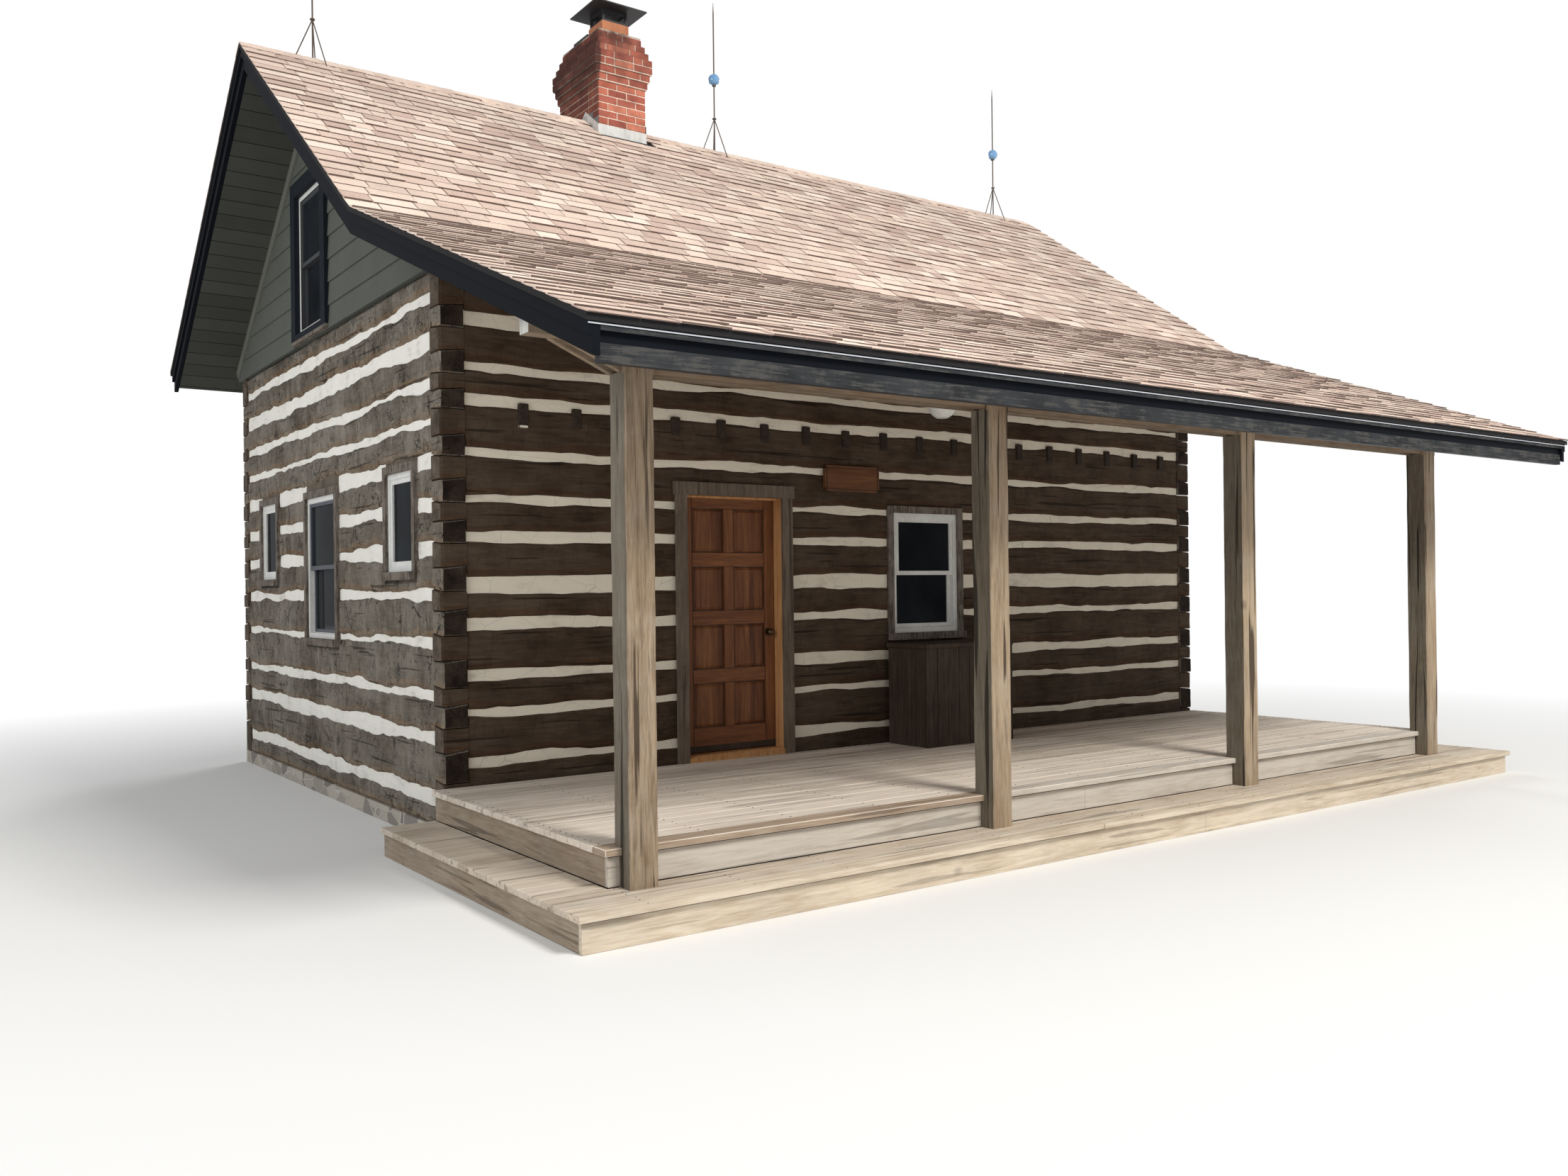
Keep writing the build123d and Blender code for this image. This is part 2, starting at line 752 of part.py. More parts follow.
low_left, low_right, low_front = step_left_x + nosing, step_right_x - nosing, step_front_y + nosing
behind_riser = low_front + skirt_board + frame_joint
with BuildPart() as step_boards:
    add(block(low_left, low_right, low_front, low_front + skirt_board, 0, tread_low))
    add(block(low_left, low_left + skirt_board, behind_riser, 0, 0, tread_low))
    add(block(low_right - skirt_board, low_right, behind_riser, 0, 0, tread_low))
    for x in (step_left_x + step_side / 2, step_right_x - step_right / 2):
        add(block(x, x + deck_joist_width, behind_riser, 0, 0, tread_low))
    add(block(skirt_left, skirt_right, skirt_front - skirt_board - frame_joint, skirt_front - frame_joint, 0,
              tread_low))
with BuildPart() as deck_frame:
    add([deck_boards.part, step_boards.part])
keep(deck_frame.part, "deck_frame")

# Doorway: jambs, head, stops and threshold as one frame, and the casing on the outside
leaf_front = leaf_inset
door_right = door_left + door_clear_width
with BuildPart() as door_frame:
    add(block(rough_left, rough_right, 0, log_thickness, ground_to, rough_top + ground_to))
    add(block(door_left, door_right, *wall_cut, ground_to + threshold_height, door_clear_top + ground_to),
        mode=Mode.SUBTRACT)
    stop_back = leaf_front - leaf_gap
    stops = (block(door_left, door_right, stop_back - stop_depth, stop_back, ground_to + threshold_height,
                   door_clear_top + ground_to)
             - block(door_left + stop_width, door_right - stop_width, 0, log_thickness, 0,
                     door_clear_top - stop_width + ground_to))
    add(stops)
    with BuildSketch(Plane.YZ.offset(door_left)):
        Polygon((-casing_thickness, ground_to), (0, ground_to), (0, ground_to + threshold_height),
                (-casing_thickness, ground_to + threshold_height - stop_width), align=None)
    extrude(amount=door_clear_width)
keep(door_frame.part, "door_frame")

with BuildPart() as door_casing:
    for x in (door_left - casing_width, door_right):
        add(block(x, x + casing_width, -casing_thickness, 0, ground_to, door_clear_top + ground_to))
    add(block(door_left - casing_width - casing_horn, door_right + casing_width + casing_horn,
              -casing_thickness - casing_head_proud, 0, door_clear_top + ground_to,
              door_clear_top + casing_width + ground_to))
keep(door_casing.part, "door_casing")

# Door leaf with raised panels on both faces
leaf_left = door_left + leaf_gap
leaf_right = door_right - leaf_gap
leaf_width = leaf_right - leaf_left
leaf_low = ground_to + leaf_bottom
leaf_high = ground_to + door_clear_top - leaf_gap
leaf_height = leaf_high - leaf_low
panel_width = (leaf_width - 2 * stile - (panel_columns - 1) * mullion) / panel_columns
panel_height = (leaf_height - rail_top - rail_bottom - (panel_rows - 1) * rail_middle) / panel_rows
leaf_centre = leaf_front + leaf_thickness / 2
panel_places = []
for column in range(panel_columns):
    for row in range(panel_rows):
        panel_places.append((leaf_left + stile + column * (panel_width + mullion) + panel_width / 2,
                             leaf_low + rail_bottom + row * (panel_height + rail_middle) + panel_height / 2))
with BuildPart() as leaf_face:
    for x, z in panel_places:
        with BuildSketch(Plane.XZ.offset(-leaf_front)):
            with Locations((x, z)):
                Rectangle(panel_width, panel_height)
                Rectangle(panel_width - 2 * panel_border, panel_height - 2 * panel_border, mode=Mode.SUBTRACT)
        extrude(amount=-panel_depth)
with BuildPart() as door_leaf:
    add(block(leaf_left, leaf_right, leaf_front, leaf_front + leaf_thickness, leaf_low, leaf_high))
    add(leaf_face.part, mode=Mode.SUBTRACT)
    add(mirror(leaf_face.part, Plane.XZ.offset(-leaf_centre)), mode=Mode.SUBTRACT)
keep(door_leaf.part, "door_leaf")

# Round forms with flat facets: rings of a polygon at rising levels, lofted with straight sides
def turned(rings, sides):
    with BuildPart() as body:
        for z, radius in rings:
            with BuildSketch(Plane.XY.offset(z)):
                RegularPolygon(radius, sides)
        loft(ruled=True)
    return body.part


def ball_rings(radius, end_radius, bands):
    start = asin(end_radius / radius)
    turns = [start + (pi - 2 * start) * k / bands for k in range(bands + 1)]
    return [(-radius * cos(turn), radius * sin(turn)) for turn in turns]


# Knobs on both faces, each with its rose
knob_x = leaf_right - knob_inset
knob_centre = knob_reach - knob_radius
with BuildPart() as front_knob:
    add(turned([(0, rose_radius), (rose_thickness, rose_radius)], knob_sides))
    add(turned([(0, knob_neck), (knob_centre, knob_neck)], knob_sides))
    add(turned([(knob_centre + z, r) for z, r in ball_rings(knob_radius, knob_neck, knob_bands)], knob_sides))
knob_place = Location((knob_x, leaf_front, ground_to + knob_height))
outer_knob = knob_place * (Rot(90, 0, 0) * front_knob.part)
with BuildPart() as door_knobs:
    add(outer_knob)
    add(mirror(outer_knob, Plane.XZ.offset(-leaf_centre)))

# Hinges: pins and end knuckles on the jamb, a middle knuckle and a plate on the leaf
pin_x = door_left + hinge_knuckle + hinge_play
pin_y = leaf_front + leaf_thickness + pin_out
plate_end = pin_y - hinge_knuckle - hinge_play
hinge_lows = [leaf_low + z - hinge_height / 2 for z in hinge_levels]
with BuildPart() as door_hinges:
    for low in hinge_lows:
        with BuildSketch(Plane.XY.offset(low + hinge_end + hinge_play)):
            with Locations((pin_x, pin_y)):
                Circle(hinge_knuckle)
                Circle(hinge_pin + hinge_play, mode=Mode.SUBTRACT)
            with Locations((leaf_left - hinge_leaf, plate_end)):
                Rectangle(hinge_leaf, hinge_knuckle - hinge_pin - hinge_play, align=Align.MIN)
        extrude(amount=hinge_height - 2 * hinge_end - 2 * hinge_play)
        add(block(leaf_left - hinge_leaf, leaf_left, pin_y - hinge_leaf_width, plate_end, low,
                  low + hinge_height))

with BuildPart() as hinge_pins:
    for low in hinge_lows:
        with BuildSketch(Plane.XY.offset(low)):
            with Locations((pin_x, pin_y)):
                Circle(hinge_pin)
        extrude(amount=hinge_height)
        for end in (low, low + hinge_height - hinge_end):
            with BuildSketch(Plane.XY.offset(end)):
                with Locations((pin_x, pin_y)):
                    Circle(hinge_knuckle)
                with Locations((door_left, pin_y - hinge_pin)):
                    Rectangle(hinge_knuckle - hinge_pin, 2 * hinge_pin, align=Align.MIN)
            extrude(amount=hinge_end)
keep(hinge_pins.part, "hinge_pins")
with BuildPart() as door_fittings:
    add([door_knobs.part, door_hinges.part])
keep(door_fittings.part, "door_fittings")


# Windows, drawn on a wall that faces -Y: x along the wall, y from the outer face inwards
def window_frame(width, height, kind):
    with BuildPart() as frame:
        with Locations((0, frame_recess, 0)):
            Box(width, frame_depth, height, align=Align.MIN)
        with Locations((frame_border, 0, frame_border)):
            Box(width - 2 * frame_border, frame_depth + 2 * frame_recess, height - 2 * frame_border,
                align=Align.MIN, mode=Mode.SUBTRACT)
        for x, y, z, w, h in sash_places(width, height, kind):
            with Locations((x, y, z)):
                Box(w, sash_depth, h, align=Align.MIN)
            with Locations((x + sash_border, y, z + sash_border)):
                Box(w - 2 * sash_border, sash_depth, h - 2 * sash_border, align=Align.MIN,
                    mode=Mode.SUBTRACT)
    return frame.part


def sash_places(width, height, kind):
    w, h = width - 2 * frame_border, height - 2 * frame_border
    outer_y = frame_recess + sash_recess
    inner_y = outer_y + sash_depth
    if kind == "casement":
        return [(frame_border, outer_y, frame_border, w, h)]
    half = (h + sash_border) / 2
    return [(frame_border, inner_y, frame_border, w, half),
            (frame_border, outer_y, height - frame_border - half, w, half)]


def window_glass(width, height, kind):
    panes = []
    for x, y, z, w, h in sash_places(width, height, kind):
        b = sash_border
        y_pane = y + (sash_depth - glass_thickness) / 2
        panes.append(block(x + b, x + w - b, y_pane, y_pane + glass_thickness, z + b, z + h - b))
    return panes


def window_trim(width, height):
    t, s = trim_width, sill_height
    outer = block(-t, width + t, -trim_proud, log_thickness, -s, height + t)
    sill = block(-t, width + t, -sill_proud, 0, -s, 0)
    return outer + sill - block(0, width, -sill_proud - cut_past, log_thickness + cut_past, 0, height)


def on_front(part, x, z):
    return part.moved(Location((x, 0, z + ground_to)))


def on_rear(part, x, width, z):
    return part.moved(Location((x + width, wall_depth, z + ground_to), (0, 0, 180)))


def on_left(part, y, width, z, outer=0):
    return part.moved(Location((outer, y + width, z + ground_to), (0, 0, -90)))


frames, panes, trims = [], [], []
x, z, w, h = front_window
frames.append(on_front(window_frame(w, h, "hung"), x, z))
trims.append(on_front(window_trim(w, h), x, z))
panes += [on_front(p, x, z) for p in window_glass(w, h, "hung")]
for x, z, w, h in rear_windows:
    frames.append(on_rear(window_frame(w, h, "hung"), x, w, z))
    trims.append(on_rear(window_trim(w, h), x, w, z))
    panes += [on_rear(p, x, w, z) for p in window_glass(w, h, "hung")]
for y, z, w, h, kind in gable_windows:
    both = [on_left(window_frame(w, h, kind), y, w, z), on_left(window_trim(w, h), y, w, z)]
    frames += [both[0], mirror(both[0], to_right)]
    trims += [both[1], mirror(both[1], to_right)]
    for p in window_glass(w, h, kind):
        pane = on_left(p, y, w, z)
        panes += [pane, mirror(pane, to_right)]
upper_frame = on_left(window_frame(uw, uh, "hung"), uy, uw, uz, -gable_wall_proud - frame_recess)
frames += [upper_frame, mirror(upper_frame, to_right)]
for p in window_glass(uw, uh, "hung"):
    pane = on_left(p, uy, uw, uz, -gable_wall_proud - frame_recess)
    panes += [pane, mirror(pane, to_right)]
with BuildPart() as window_frames:
    add(frames)
keep(window_frames.part, "window_frames")
with BuildPart() as window_panes:
    add(panes)
keep(window_panes.part, "window_glass")

# Wide casings round the upper windows, on the siding
casing_low, casing_high = uz + ground_to - upper_trim, uz + uh + ground_to + upper_trim
left_casing = (block(-gable_wall_proud - upper_trim_proud, -gable_wall_proud, uy - upper_trim,
                     uy + uw + upper_trim, max(casing_low, top), casing_high)
               - block(-gable_wall_thickness, 0, uy, uy + uw, uz + ground_to, uz + uh + ground_to))
with BuildPart() as window_trims:
    add(trims + [left_casing, mirror(left_casing, to_right)])
keep(window_trims.part, "window_trims")

# Chimney: a brick stack from the ground, corbelled out and back under its top
stack_top = chimney_top + ground_to
corbel_low = stack_top - (corbel_rows + return_rows) * brick_course
stack_x, stack_y = chimney_left + chimney_size / 2, ridge_y
with BuildPart() as chimney:
    with Locations((stack_x, stack_y, 0)):
        Box(chimney_size, chimney_size, corbel_low, align=(Align.CENTER, Align.CENTER, Align.MIN))
    widest = chimney_size + 2 * corbel_rows * corbel_step
    sizes = [chimney_size + 2 * (k + 1) * corbel_step for k in range(corbel_rows)]
    sizes += [widest - 2 * k * return_step for k in range(return_rows)]
    for k, size in enumerate(sizes):
        with Locations((stack_x, stack_y, corbel_low + k * brick_course)):
            Box(size, size, brick_course, align=(Align.CENTER, Align.CENTER, Align.MIN))
    with Locations((stack_x, stack_y, 0)):
        Box(flue_size - 2 * flue_wall, flue_size - 2 * flue_wall, stack_top,
            align=(Align.CENTER, Align.CENTER, Align.MIN), mode=Mode.SUBTRACT)
    with Locations((stack_x, stack_y, stack_top + flue_show - flue_length)):
        Box(flue_size, flue_size, flue_length, align=(Align.CENTER, Align.CENTER, Align.MIN),
            mode=Mode.SUBTRACT)
keep(chimney.part, "chimney")

flue_top = stack_top + flue_show
with BuildPart() as chimney_flue:
    with Locations((stack_x, stack_y, flue_top - flue_length)):
        Box(flue_size, flue_size, flue_length, align=(Align.CENTER, Align.CENTER, Align.MIN))
        Box(flue_size - 2 * flue_wall, flue_size - 2 * flue_wall, flue_length,
            align=(Align.CENTER, Align.CENTER, Align.MIN), mode=Mode.SUBTRACT)
keep(chimney_flue.part, "chimney_flue")

with BuildPart() as chimney_cap:
    with Locations((stack_x, stack_y, flue_top)):
        Box(cap_box, cap_box, cap_height, align=(Align.CENTER, Align.CENTER, Align.MIN))
        inside = flue_size - 2 * flue_wall
        Box(inside, inside, cap_height, align=(Align.CENTER, Align.CENTER, Align.MIN), mode=Mode.SUBTRACT)
    with Locations((stack_x, stack_y, flue_top + cap_post)):
        clear = cap_height - 2 * cap_post
        for width, depth in ((cap_box - 2 * cap_post, cap_box), (cap_box, cap_box - 2 * cap_post)):
            Box(width, depth, clear, align=(Align.CENTER, Align.CENTER, Align.MIN), mode=Mode.SUBTRACT)
    with Locations((stack_x, stack_y, flue_top + cap_height)):
        Box(cap_lid, cap_lid, cap_lid_edge, align=(Align.CENTER, Align.CENTER, Align.MIN))
    with Locations((stack_x, stack_y, flue_top + cap_height + cap_lid_edge)):
        Wedge(cap_lid, cap_lid_rise, cap_lid, cap_lid_flat, cap_lid_flat, cap_lid - cap_lid_flat,
              cap_lid - cap_lid_flat, rotation=(90, 0, 0), align=(Align.CENTER, Align.MIN, Align.CENTER))
keep(chimney_cap.part, "chimney_cap")

# Flashing: a sheet round the stack that follows both slopes
flash_y0, flash_y1 = chimney_back - flashing_sheet, chimney_back + chimney_size + flashing_sheet
flash_line = [(flash_y0, main_z(flash_y0)), (ridge_y, ridge_z), (flash_y1, main_z(flash_y1))]
flash_top = [(y, z + flashing_height) for y, z in flash_line]
with BuildPart() as chimney_flashing:
    add(slab_along_x(flash_line + flash_top[::-1], chimney_left - flashing_sheet,
                     chimney_size + 2 * flashing_sheet))
    add(chimney_hole(0, top, ridge_z + 2 * flashing_height), mode=Mode.SUBTRACT)
keep(chimney_flashing.part, "chimney_flashing")


# Lightning rods: a pointed rod on three legs, with a collar that carries a glass ball
def straight_bar(start, end, radius):
    with BuildPart() as bar:
        with BuildLine() as path:
            Line(start, end)
        with BuildSketch(Plane(start, z_dir=Vector(*end) - Vector(*start))):
            RegularPolygon(radius, rod_sides)
        sweep(path=path.line)
    return bar.part


rod_places = [-rod_end_shift, wall_length / 2, wall_length + rod_end_shift]
roof_body = slab_along_x(roof_band(0, roof_skin, rear_eave_y, front_eave_y), skin_left, skin_width)


def lightning_rod(x):
    legs = []
    ring_middle = (x, ridge_y, ridge_z + ring_height - collar_thickness / 2)
    for angle in leg_angles:
        dx, dy = leg_spread * cos(radians(angle)), leg_spread * sin(radians(angle))
        foot = (x + dx, ridge_y + dy, main_z(ridge_y + dy) - leg_radius)
        legs.append(straight_bar(ring_middle, foot, leg_radius))
    with BuildPart() as rod:
        with BuildSketch(Plane((x, ridge_y, ridge_z - rod_radius))):
            RegularPolygon(rod_radius, rod_sides)
        extrude(amount=rod_height - tip_length + rod_radius)
        tip_low = ridge_z + rod_height - tip_length
        add(turned([(tip_low, rod_radius), (tip_low + tip_length, rod_point)], rod_sides)
            .moved(Location((x, ridge_y, 0))))
        for level in (ring_height, collar_height):
            with BuildSketch(Plane((x, ridge_y, ridge_z + level - collar_thickness))):
                RegularPolygon(collar_radius, rod_sides)
            extrude(amount=collar_thickness)
        for leg in legs:
            add(leg)
        add(roof_body, mode=Mode.SUBTRACT)
    return rod.part


with BuildPart() as lightning_rods:
    for x in rod_places:
        add(lightning_rod(x))
keep(lightning_rods.part, "lightning_rods")

# Glass balls, each resting on its rod's upper collar
ball_body = ball_rings(ball_radius, collar_radius, ball_bands)
ball_z = ridge_z + collar_height - ball_body[0][0]
hole_radius = rod_radius + ball_clearance
ball_hole = turned([(-ball_radius, hole_radius), (ball_radius, hole_radius)], rod_sides)
ball = turned(ball_body, ball_sides) - ball_hole
with BuildPart() as rod_balls:
    add([ball.moved(Location((x, ridge_y, ball_z))) for x in rod_places])
keep(rod_balls.part, "rod_balls")

# Sign board with notched corners, bare
with BuildPart() as sign_board:
    with BuildSketch(Plane.XZ):
        with Locations((sign_left + sign_width / 2, ground_to + sign_bottom + sign_height / 2)):
            Rectangle(sign_width, sign_height)
            with GridLocations(sign_width, sign_height, 2, 2):
                Circle(sign_notch, mode=Mode.SUBTRACT)
    extrude(amount=sign_thickness)
keep(sign_board.part, "sign_board")

# Boarded box under the front window, with a lid
box_right = box_left + box_width
lid_low = ground_to + box_height - box_lid
with BuildPart() as wood_box:
    add(block(box_left, box_right, -box_depth, -sill_proud, ground_to, lid_low))
    add(block(box_left + box_board, box_right - box_board, -box_depth + box_board, -sill_proud - box_board,
              ground_to + box_board, lid_low + box_lid), mode=Mode.SUBTRACT)
    add(block(box_left - box_lid_lip, box_right + box_lid_lip, -box_depth - box_lid_lip, -sill_proud,
              lid_low, lid_low + box_lid))
keep(wood_box.part, "wood_box")

# Porch lamp: a rose under a rafter, a stem and a white shade
lamp_rafter = min(rafter_places, key=lambda place: abs(place - lamp_x)) + rafter_width / 2
lamp_top = porch_z(lamp_y - lamp_rose_radius, soffit_level)
with BuildPart() as lamp_stem:
    with BuildSketch(Plane((lamp_rafter, lamp_y, lamp_top - lamp_rose_thickness))):
        Circle(lamp_rose_radius)
    extrude(amount=lamp_rose_thickness + 2 * lamp_rose_radius * porch_pitch)
    with BuildSketch(Plane((lamp_rafter, lamp_y, ground_to + lamp_bottom + lamp_shade_height))):
        Circle(lamp_stem_radius)
    extrude(until=Until.NEXT)
    over = [lamp_y - 2 * lamp_rose_radius, lamp_y + 2 * lamp_rose_radius]
    add(slab_along_x([(y, porch_z(y, soffit_level)) for y in over] + [(over[1], knee_z), (over[0], knee_z)],
                     lamp_rafter - 2 * lamp_rose_radius, 4 * lamp_rose_radius), mode=Mode.SUBTRACT)
keep(lamp_stem.part, "lamp_stem")

shade = turned([(z * lamp_shade_height, r * lamp_shade_radius) for r, z in lamp_profile], lamp_sides)
keep(Location((lamp_rafter, lamp_y, ground_to + lamp_bottom)) * shade, "lamp_shade")

print("origin is at", round(middle_x, 1), round(middle_y, 1), "from the front left corner of the logs")
print("door pin at", round(pin_x - middle_x, 1), round(pin_y - middle_y, 1))
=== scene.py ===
import bpy
import bmesh
import math
import random
from mathutils import Matrix, Vector, noise


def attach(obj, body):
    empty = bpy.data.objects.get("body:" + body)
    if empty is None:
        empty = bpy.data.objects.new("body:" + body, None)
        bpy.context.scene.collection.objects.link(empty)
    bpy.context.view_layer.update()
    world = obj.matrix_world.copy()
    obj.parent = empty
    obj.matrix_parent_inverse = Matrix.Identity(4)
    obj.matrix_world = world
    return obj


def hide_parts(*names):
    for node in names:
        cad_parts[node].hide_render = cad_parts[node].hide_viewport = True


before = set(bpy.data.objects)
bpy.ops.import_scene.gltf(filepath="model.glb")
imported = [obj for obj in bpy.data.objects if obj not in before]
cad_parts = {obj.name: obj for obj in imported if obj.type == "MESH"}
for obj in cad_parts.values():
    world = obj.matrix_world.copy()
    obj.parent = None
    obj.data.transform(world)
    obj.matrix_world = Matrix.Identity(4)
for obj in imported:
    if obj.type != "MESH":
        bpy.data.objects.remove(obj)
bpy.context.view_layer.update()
rng = random.Random(11)

# Sizes in metres. Plan places are counted from the outer front left corner of the log walls,
# heights from the ground; every finished mesh is shifted so that the frame's origin fits.
SHIFT = Vector((-4.0975, -1.3, 0))
LENGTH, DEPTH, WALL = 8.15, 5.68, 0.18
DECK, BASE, TOP = 0.4, 0.12, 3.97
FRONT_GAPS = (0.054, 0.04, 0.062, 0.062, 0.11, 0.056, 0.046, 0.05, 0.064, 0.044, 0.09)
GABLE_GAPS = (0.09, 0.096, 0.062, 0.044, 0.064, 0.09, 0.08, 0.11, 0.044, 0.048, 0.11, 0.058)
FRONT = [BASE] + [z + DECK for z in
                  (0.163, 0.504, 0.757, 1.11, 1.385, 1.72, 1.98, 2.305, 2.674, 2.9, 3.23)] + [TOP]
GABLE = [BASE] + [z + DECK for z in
                  (-0.09, 0.32, 0.615, 0.98, 1.32, 1.64, 1.94, 2.25, 2.53, 2.79, 3.09, 3.38)] + [TOP]
RIDGE_Y, RIDGE_Z, PITCH = 2.84, 6.344, 0.718
KNEE_Y, PORCH_PITCH = -0.107, 0.3916
KNEE_Z = RIDGE_Z - PITCH * (RIDGE_Y - KNEE_Y)
EAVE_Y, REAR_Y = -3.409, 6.009
RAKE = 0.615
STACK_X, STACK, STACK_DEEP = 2.576, 0.52, 0.838
STACK_NEAR = RIDGE_Y - STACK / 2
STACK_FAR = STACK_NEAR + STACK_DEEP
HEADER = 2.86
DECK_BOARD, STEP_BOARD = 0.1435, 0.1405


def main_z(y, depth=0.0):
    return RIDGE_Z - PITCH * abs(y - RIDGE_Y) - depth * math.hypot(1, PITCH)


def porch_z(y):
    return KNEE_Z - PORCH_PITCH * (KNEE_Y - y)


# Materials
class Shade:
    """A socket in a material's node tree that can be used in sums."""

    def __init__(self, tree, out):
        self.tree = tree
        self.out = out

    def make(self, kind, values=None, output=0, **settings):
        node = self.tree.nodes.new(kind)
        for key, value in settings.items():
            setattr(node, key, value)
        for key, value in (values or {}).items():
            if isinstance(value, Shade):
                self.tree.links.new(value.out, node.inputs[key])
            else:
                node.inputs[key].default_value = value
        return Shade(self.tree, node.outputs[output])

    def sum(self, kind, other, flip=False):
        a, b = (other, self) if flip else (self, other)
        return self.make("ShaderNodeMath", {0: a, 1: b}, operation=kind)

    def __add__(self, other):
        return self.sum("ADD", other)

    __radd__ = __add__

    def __sub__(self, other):
        return self.sum("SUBTRACT", other)

    def __rsub__(self, other):
        return self.sum("SUBTRACT", other, True)

    def __mul__(self, other):
        return self.sum("MULTIPLY", other)

    __rmul__ = __mul__

    def __truediv__(self, other):
        return self.sum("DIVIDE", other)

    def one(self, kind):
        return self.make("ShaderNodeMath", {0: self}, operation=kind)

    def less(self, other):
        return self.sum("LESS_THAN", other)

    def lowest(self, other):
        return self.sum("MINIMUM", other)

    def fit(self, a, b, c=0.0, d=1.0):
        return self.make("ShaderNodeMapRange", {0: self, 1: a, 2: b, 3: c, 4: d})

    def axis(self, which):
        return self.make("ShaderNodeSeparateXYZ", {0: self}, output=which)

    def scaled(self, x, y, z):
        return self.make("ShaderNodeMapping", {0: self, 3: (x, y, z)})

    def noise(self, scale, detail=4.0, rough=0.5, twist=0.0):
        return self.make("ShaderNodeTexNoise", {"Vector": self, "Scale": scale, "Detail": detail,
                                                "Roughness": rough, "Distortion": twist})

    def cells(self, scale, output=0, feature="F1"):
        return self.make("ShaderNodeTexVoronoi", {"Vector": self, "Scale": scale}, output, feature=feature)

    def facets(self, scale):
        """One grey tone for each cell."""
        colours = self.cells(scale, 1)
        return colours.make("ShaderNodeRGBToBW", {0: colours})

    def edges(self, scale, width, amount=1.0):
        """The lines between cells."""
        return self.cells(scale, feature="DISTANCE_TO_EDGE").fit(0.0, width, amount, 0.0)

    def white(self):
        return self.make("ShaderNodeTexWhiteNoise", {"Vector": self})

    def tint(self, base, colour, factor=1.0):
        """The base, covered by a colour where this socket is high."""
        cover = (*times(colour, factor), 1)
        return self.make("ShaderNodeMix", {0: self, 6: base, 7: cover}, 2, data_type="RGBA")

    def tones(self, *colours, middle=0.5):
        """A ramp from the first colour to the last one; a third colour lies between them."""
        ramp = self.make("ShaderNodeValToRGB", {0: self})
        band = ramp.out.node.color_ramp
        places = (0, middle, 1) if len(colours) > 2 else (0, 1)
        for k, (place, colour) in enumerate(zip(places, colours)):
            stop = band.elements[k] if k < 2 else band.elements.new(place)
            stop.position = place
            stop.color = (*colour, 1)
        return ramp

    def join(self, y, z):
        return self.make("ShaderNodeCombineXYZ", {0: self, 1: y, 2: z})


def material(name, rough=0.7, metal=0.0, coat=0.0, specular=0.5):
    """A new material, and the place on the object that its patterns start from."""
    mat = bpy.data.materials.new(name)
    mat.use_nodes = True
    tree = mat.node_tree
    for key, value in (("Roughness", rough), ("Metallic", metal), ("Coat Weight", coat),
                       ("Specular IOR Level", specular)):
        tree.nodes["Principled BSDF"].inputs[key].default_value = value
    return mat, Shade(tree, tree.nodes.new("ShaderNodeTexCoord").outputs["Object"])


def dress(mat, colour, rough, height, depth, strength=0.6):
    """Join the colour, the roughness if it varies, and the relief to the material."""
    tree = mat.node_tree
    bump = height.make("ShaderNodeBump", {"Height": height, "Strength": strength, "Distance": depth})
    for key, value in (("Base Color", colour), ("Roughness", rough), ("Normal", bump)):
        if value:
            tree.links.new(value.out, tree.nodes["Principled BSDF"].inputs[key])
    return mat


def times(colour, factor):
    return tuple(min(1.0, c * factor) for c in colour)


def along(place, axis, stretch):
    scale = [1.0, 1.0, 1.0]
    scale["xyz".index(axis)] = 1.0 / stretch
    return place.scaled(*scale)


def boards(across, width, joint):
    """Joint lines between boards, and a tone of its own for each board."""
    cell = across / width
    return cell.one("FRACT").less(joint / width), cell.one("FLOOR").join(0.0, 0.0).white() - 0.5


RIM_X = LENGTH / 2 + RAKE - 0.002
RIM_Y = (EAVE_Y + REAR_Y) / 2 + SHIFT.y
RIM_Y_HALF = (REAR_Y - EAVE_Y) / 2 - 0.002


def slab_depth(place, slope):
    """How far a point lies below the roof's surface, straight down."""
    y = place.axis(1) - SHIFT.y
    if slope == "porch":
        return (y - KNEE_Y) * PORCH_PITCH + (KNEE_Z - place.axis(2))
    return (y - RIDGE_Y).one("ABSOLUTE") * -PITCH + (RIDGE_Z - place.axis(2))


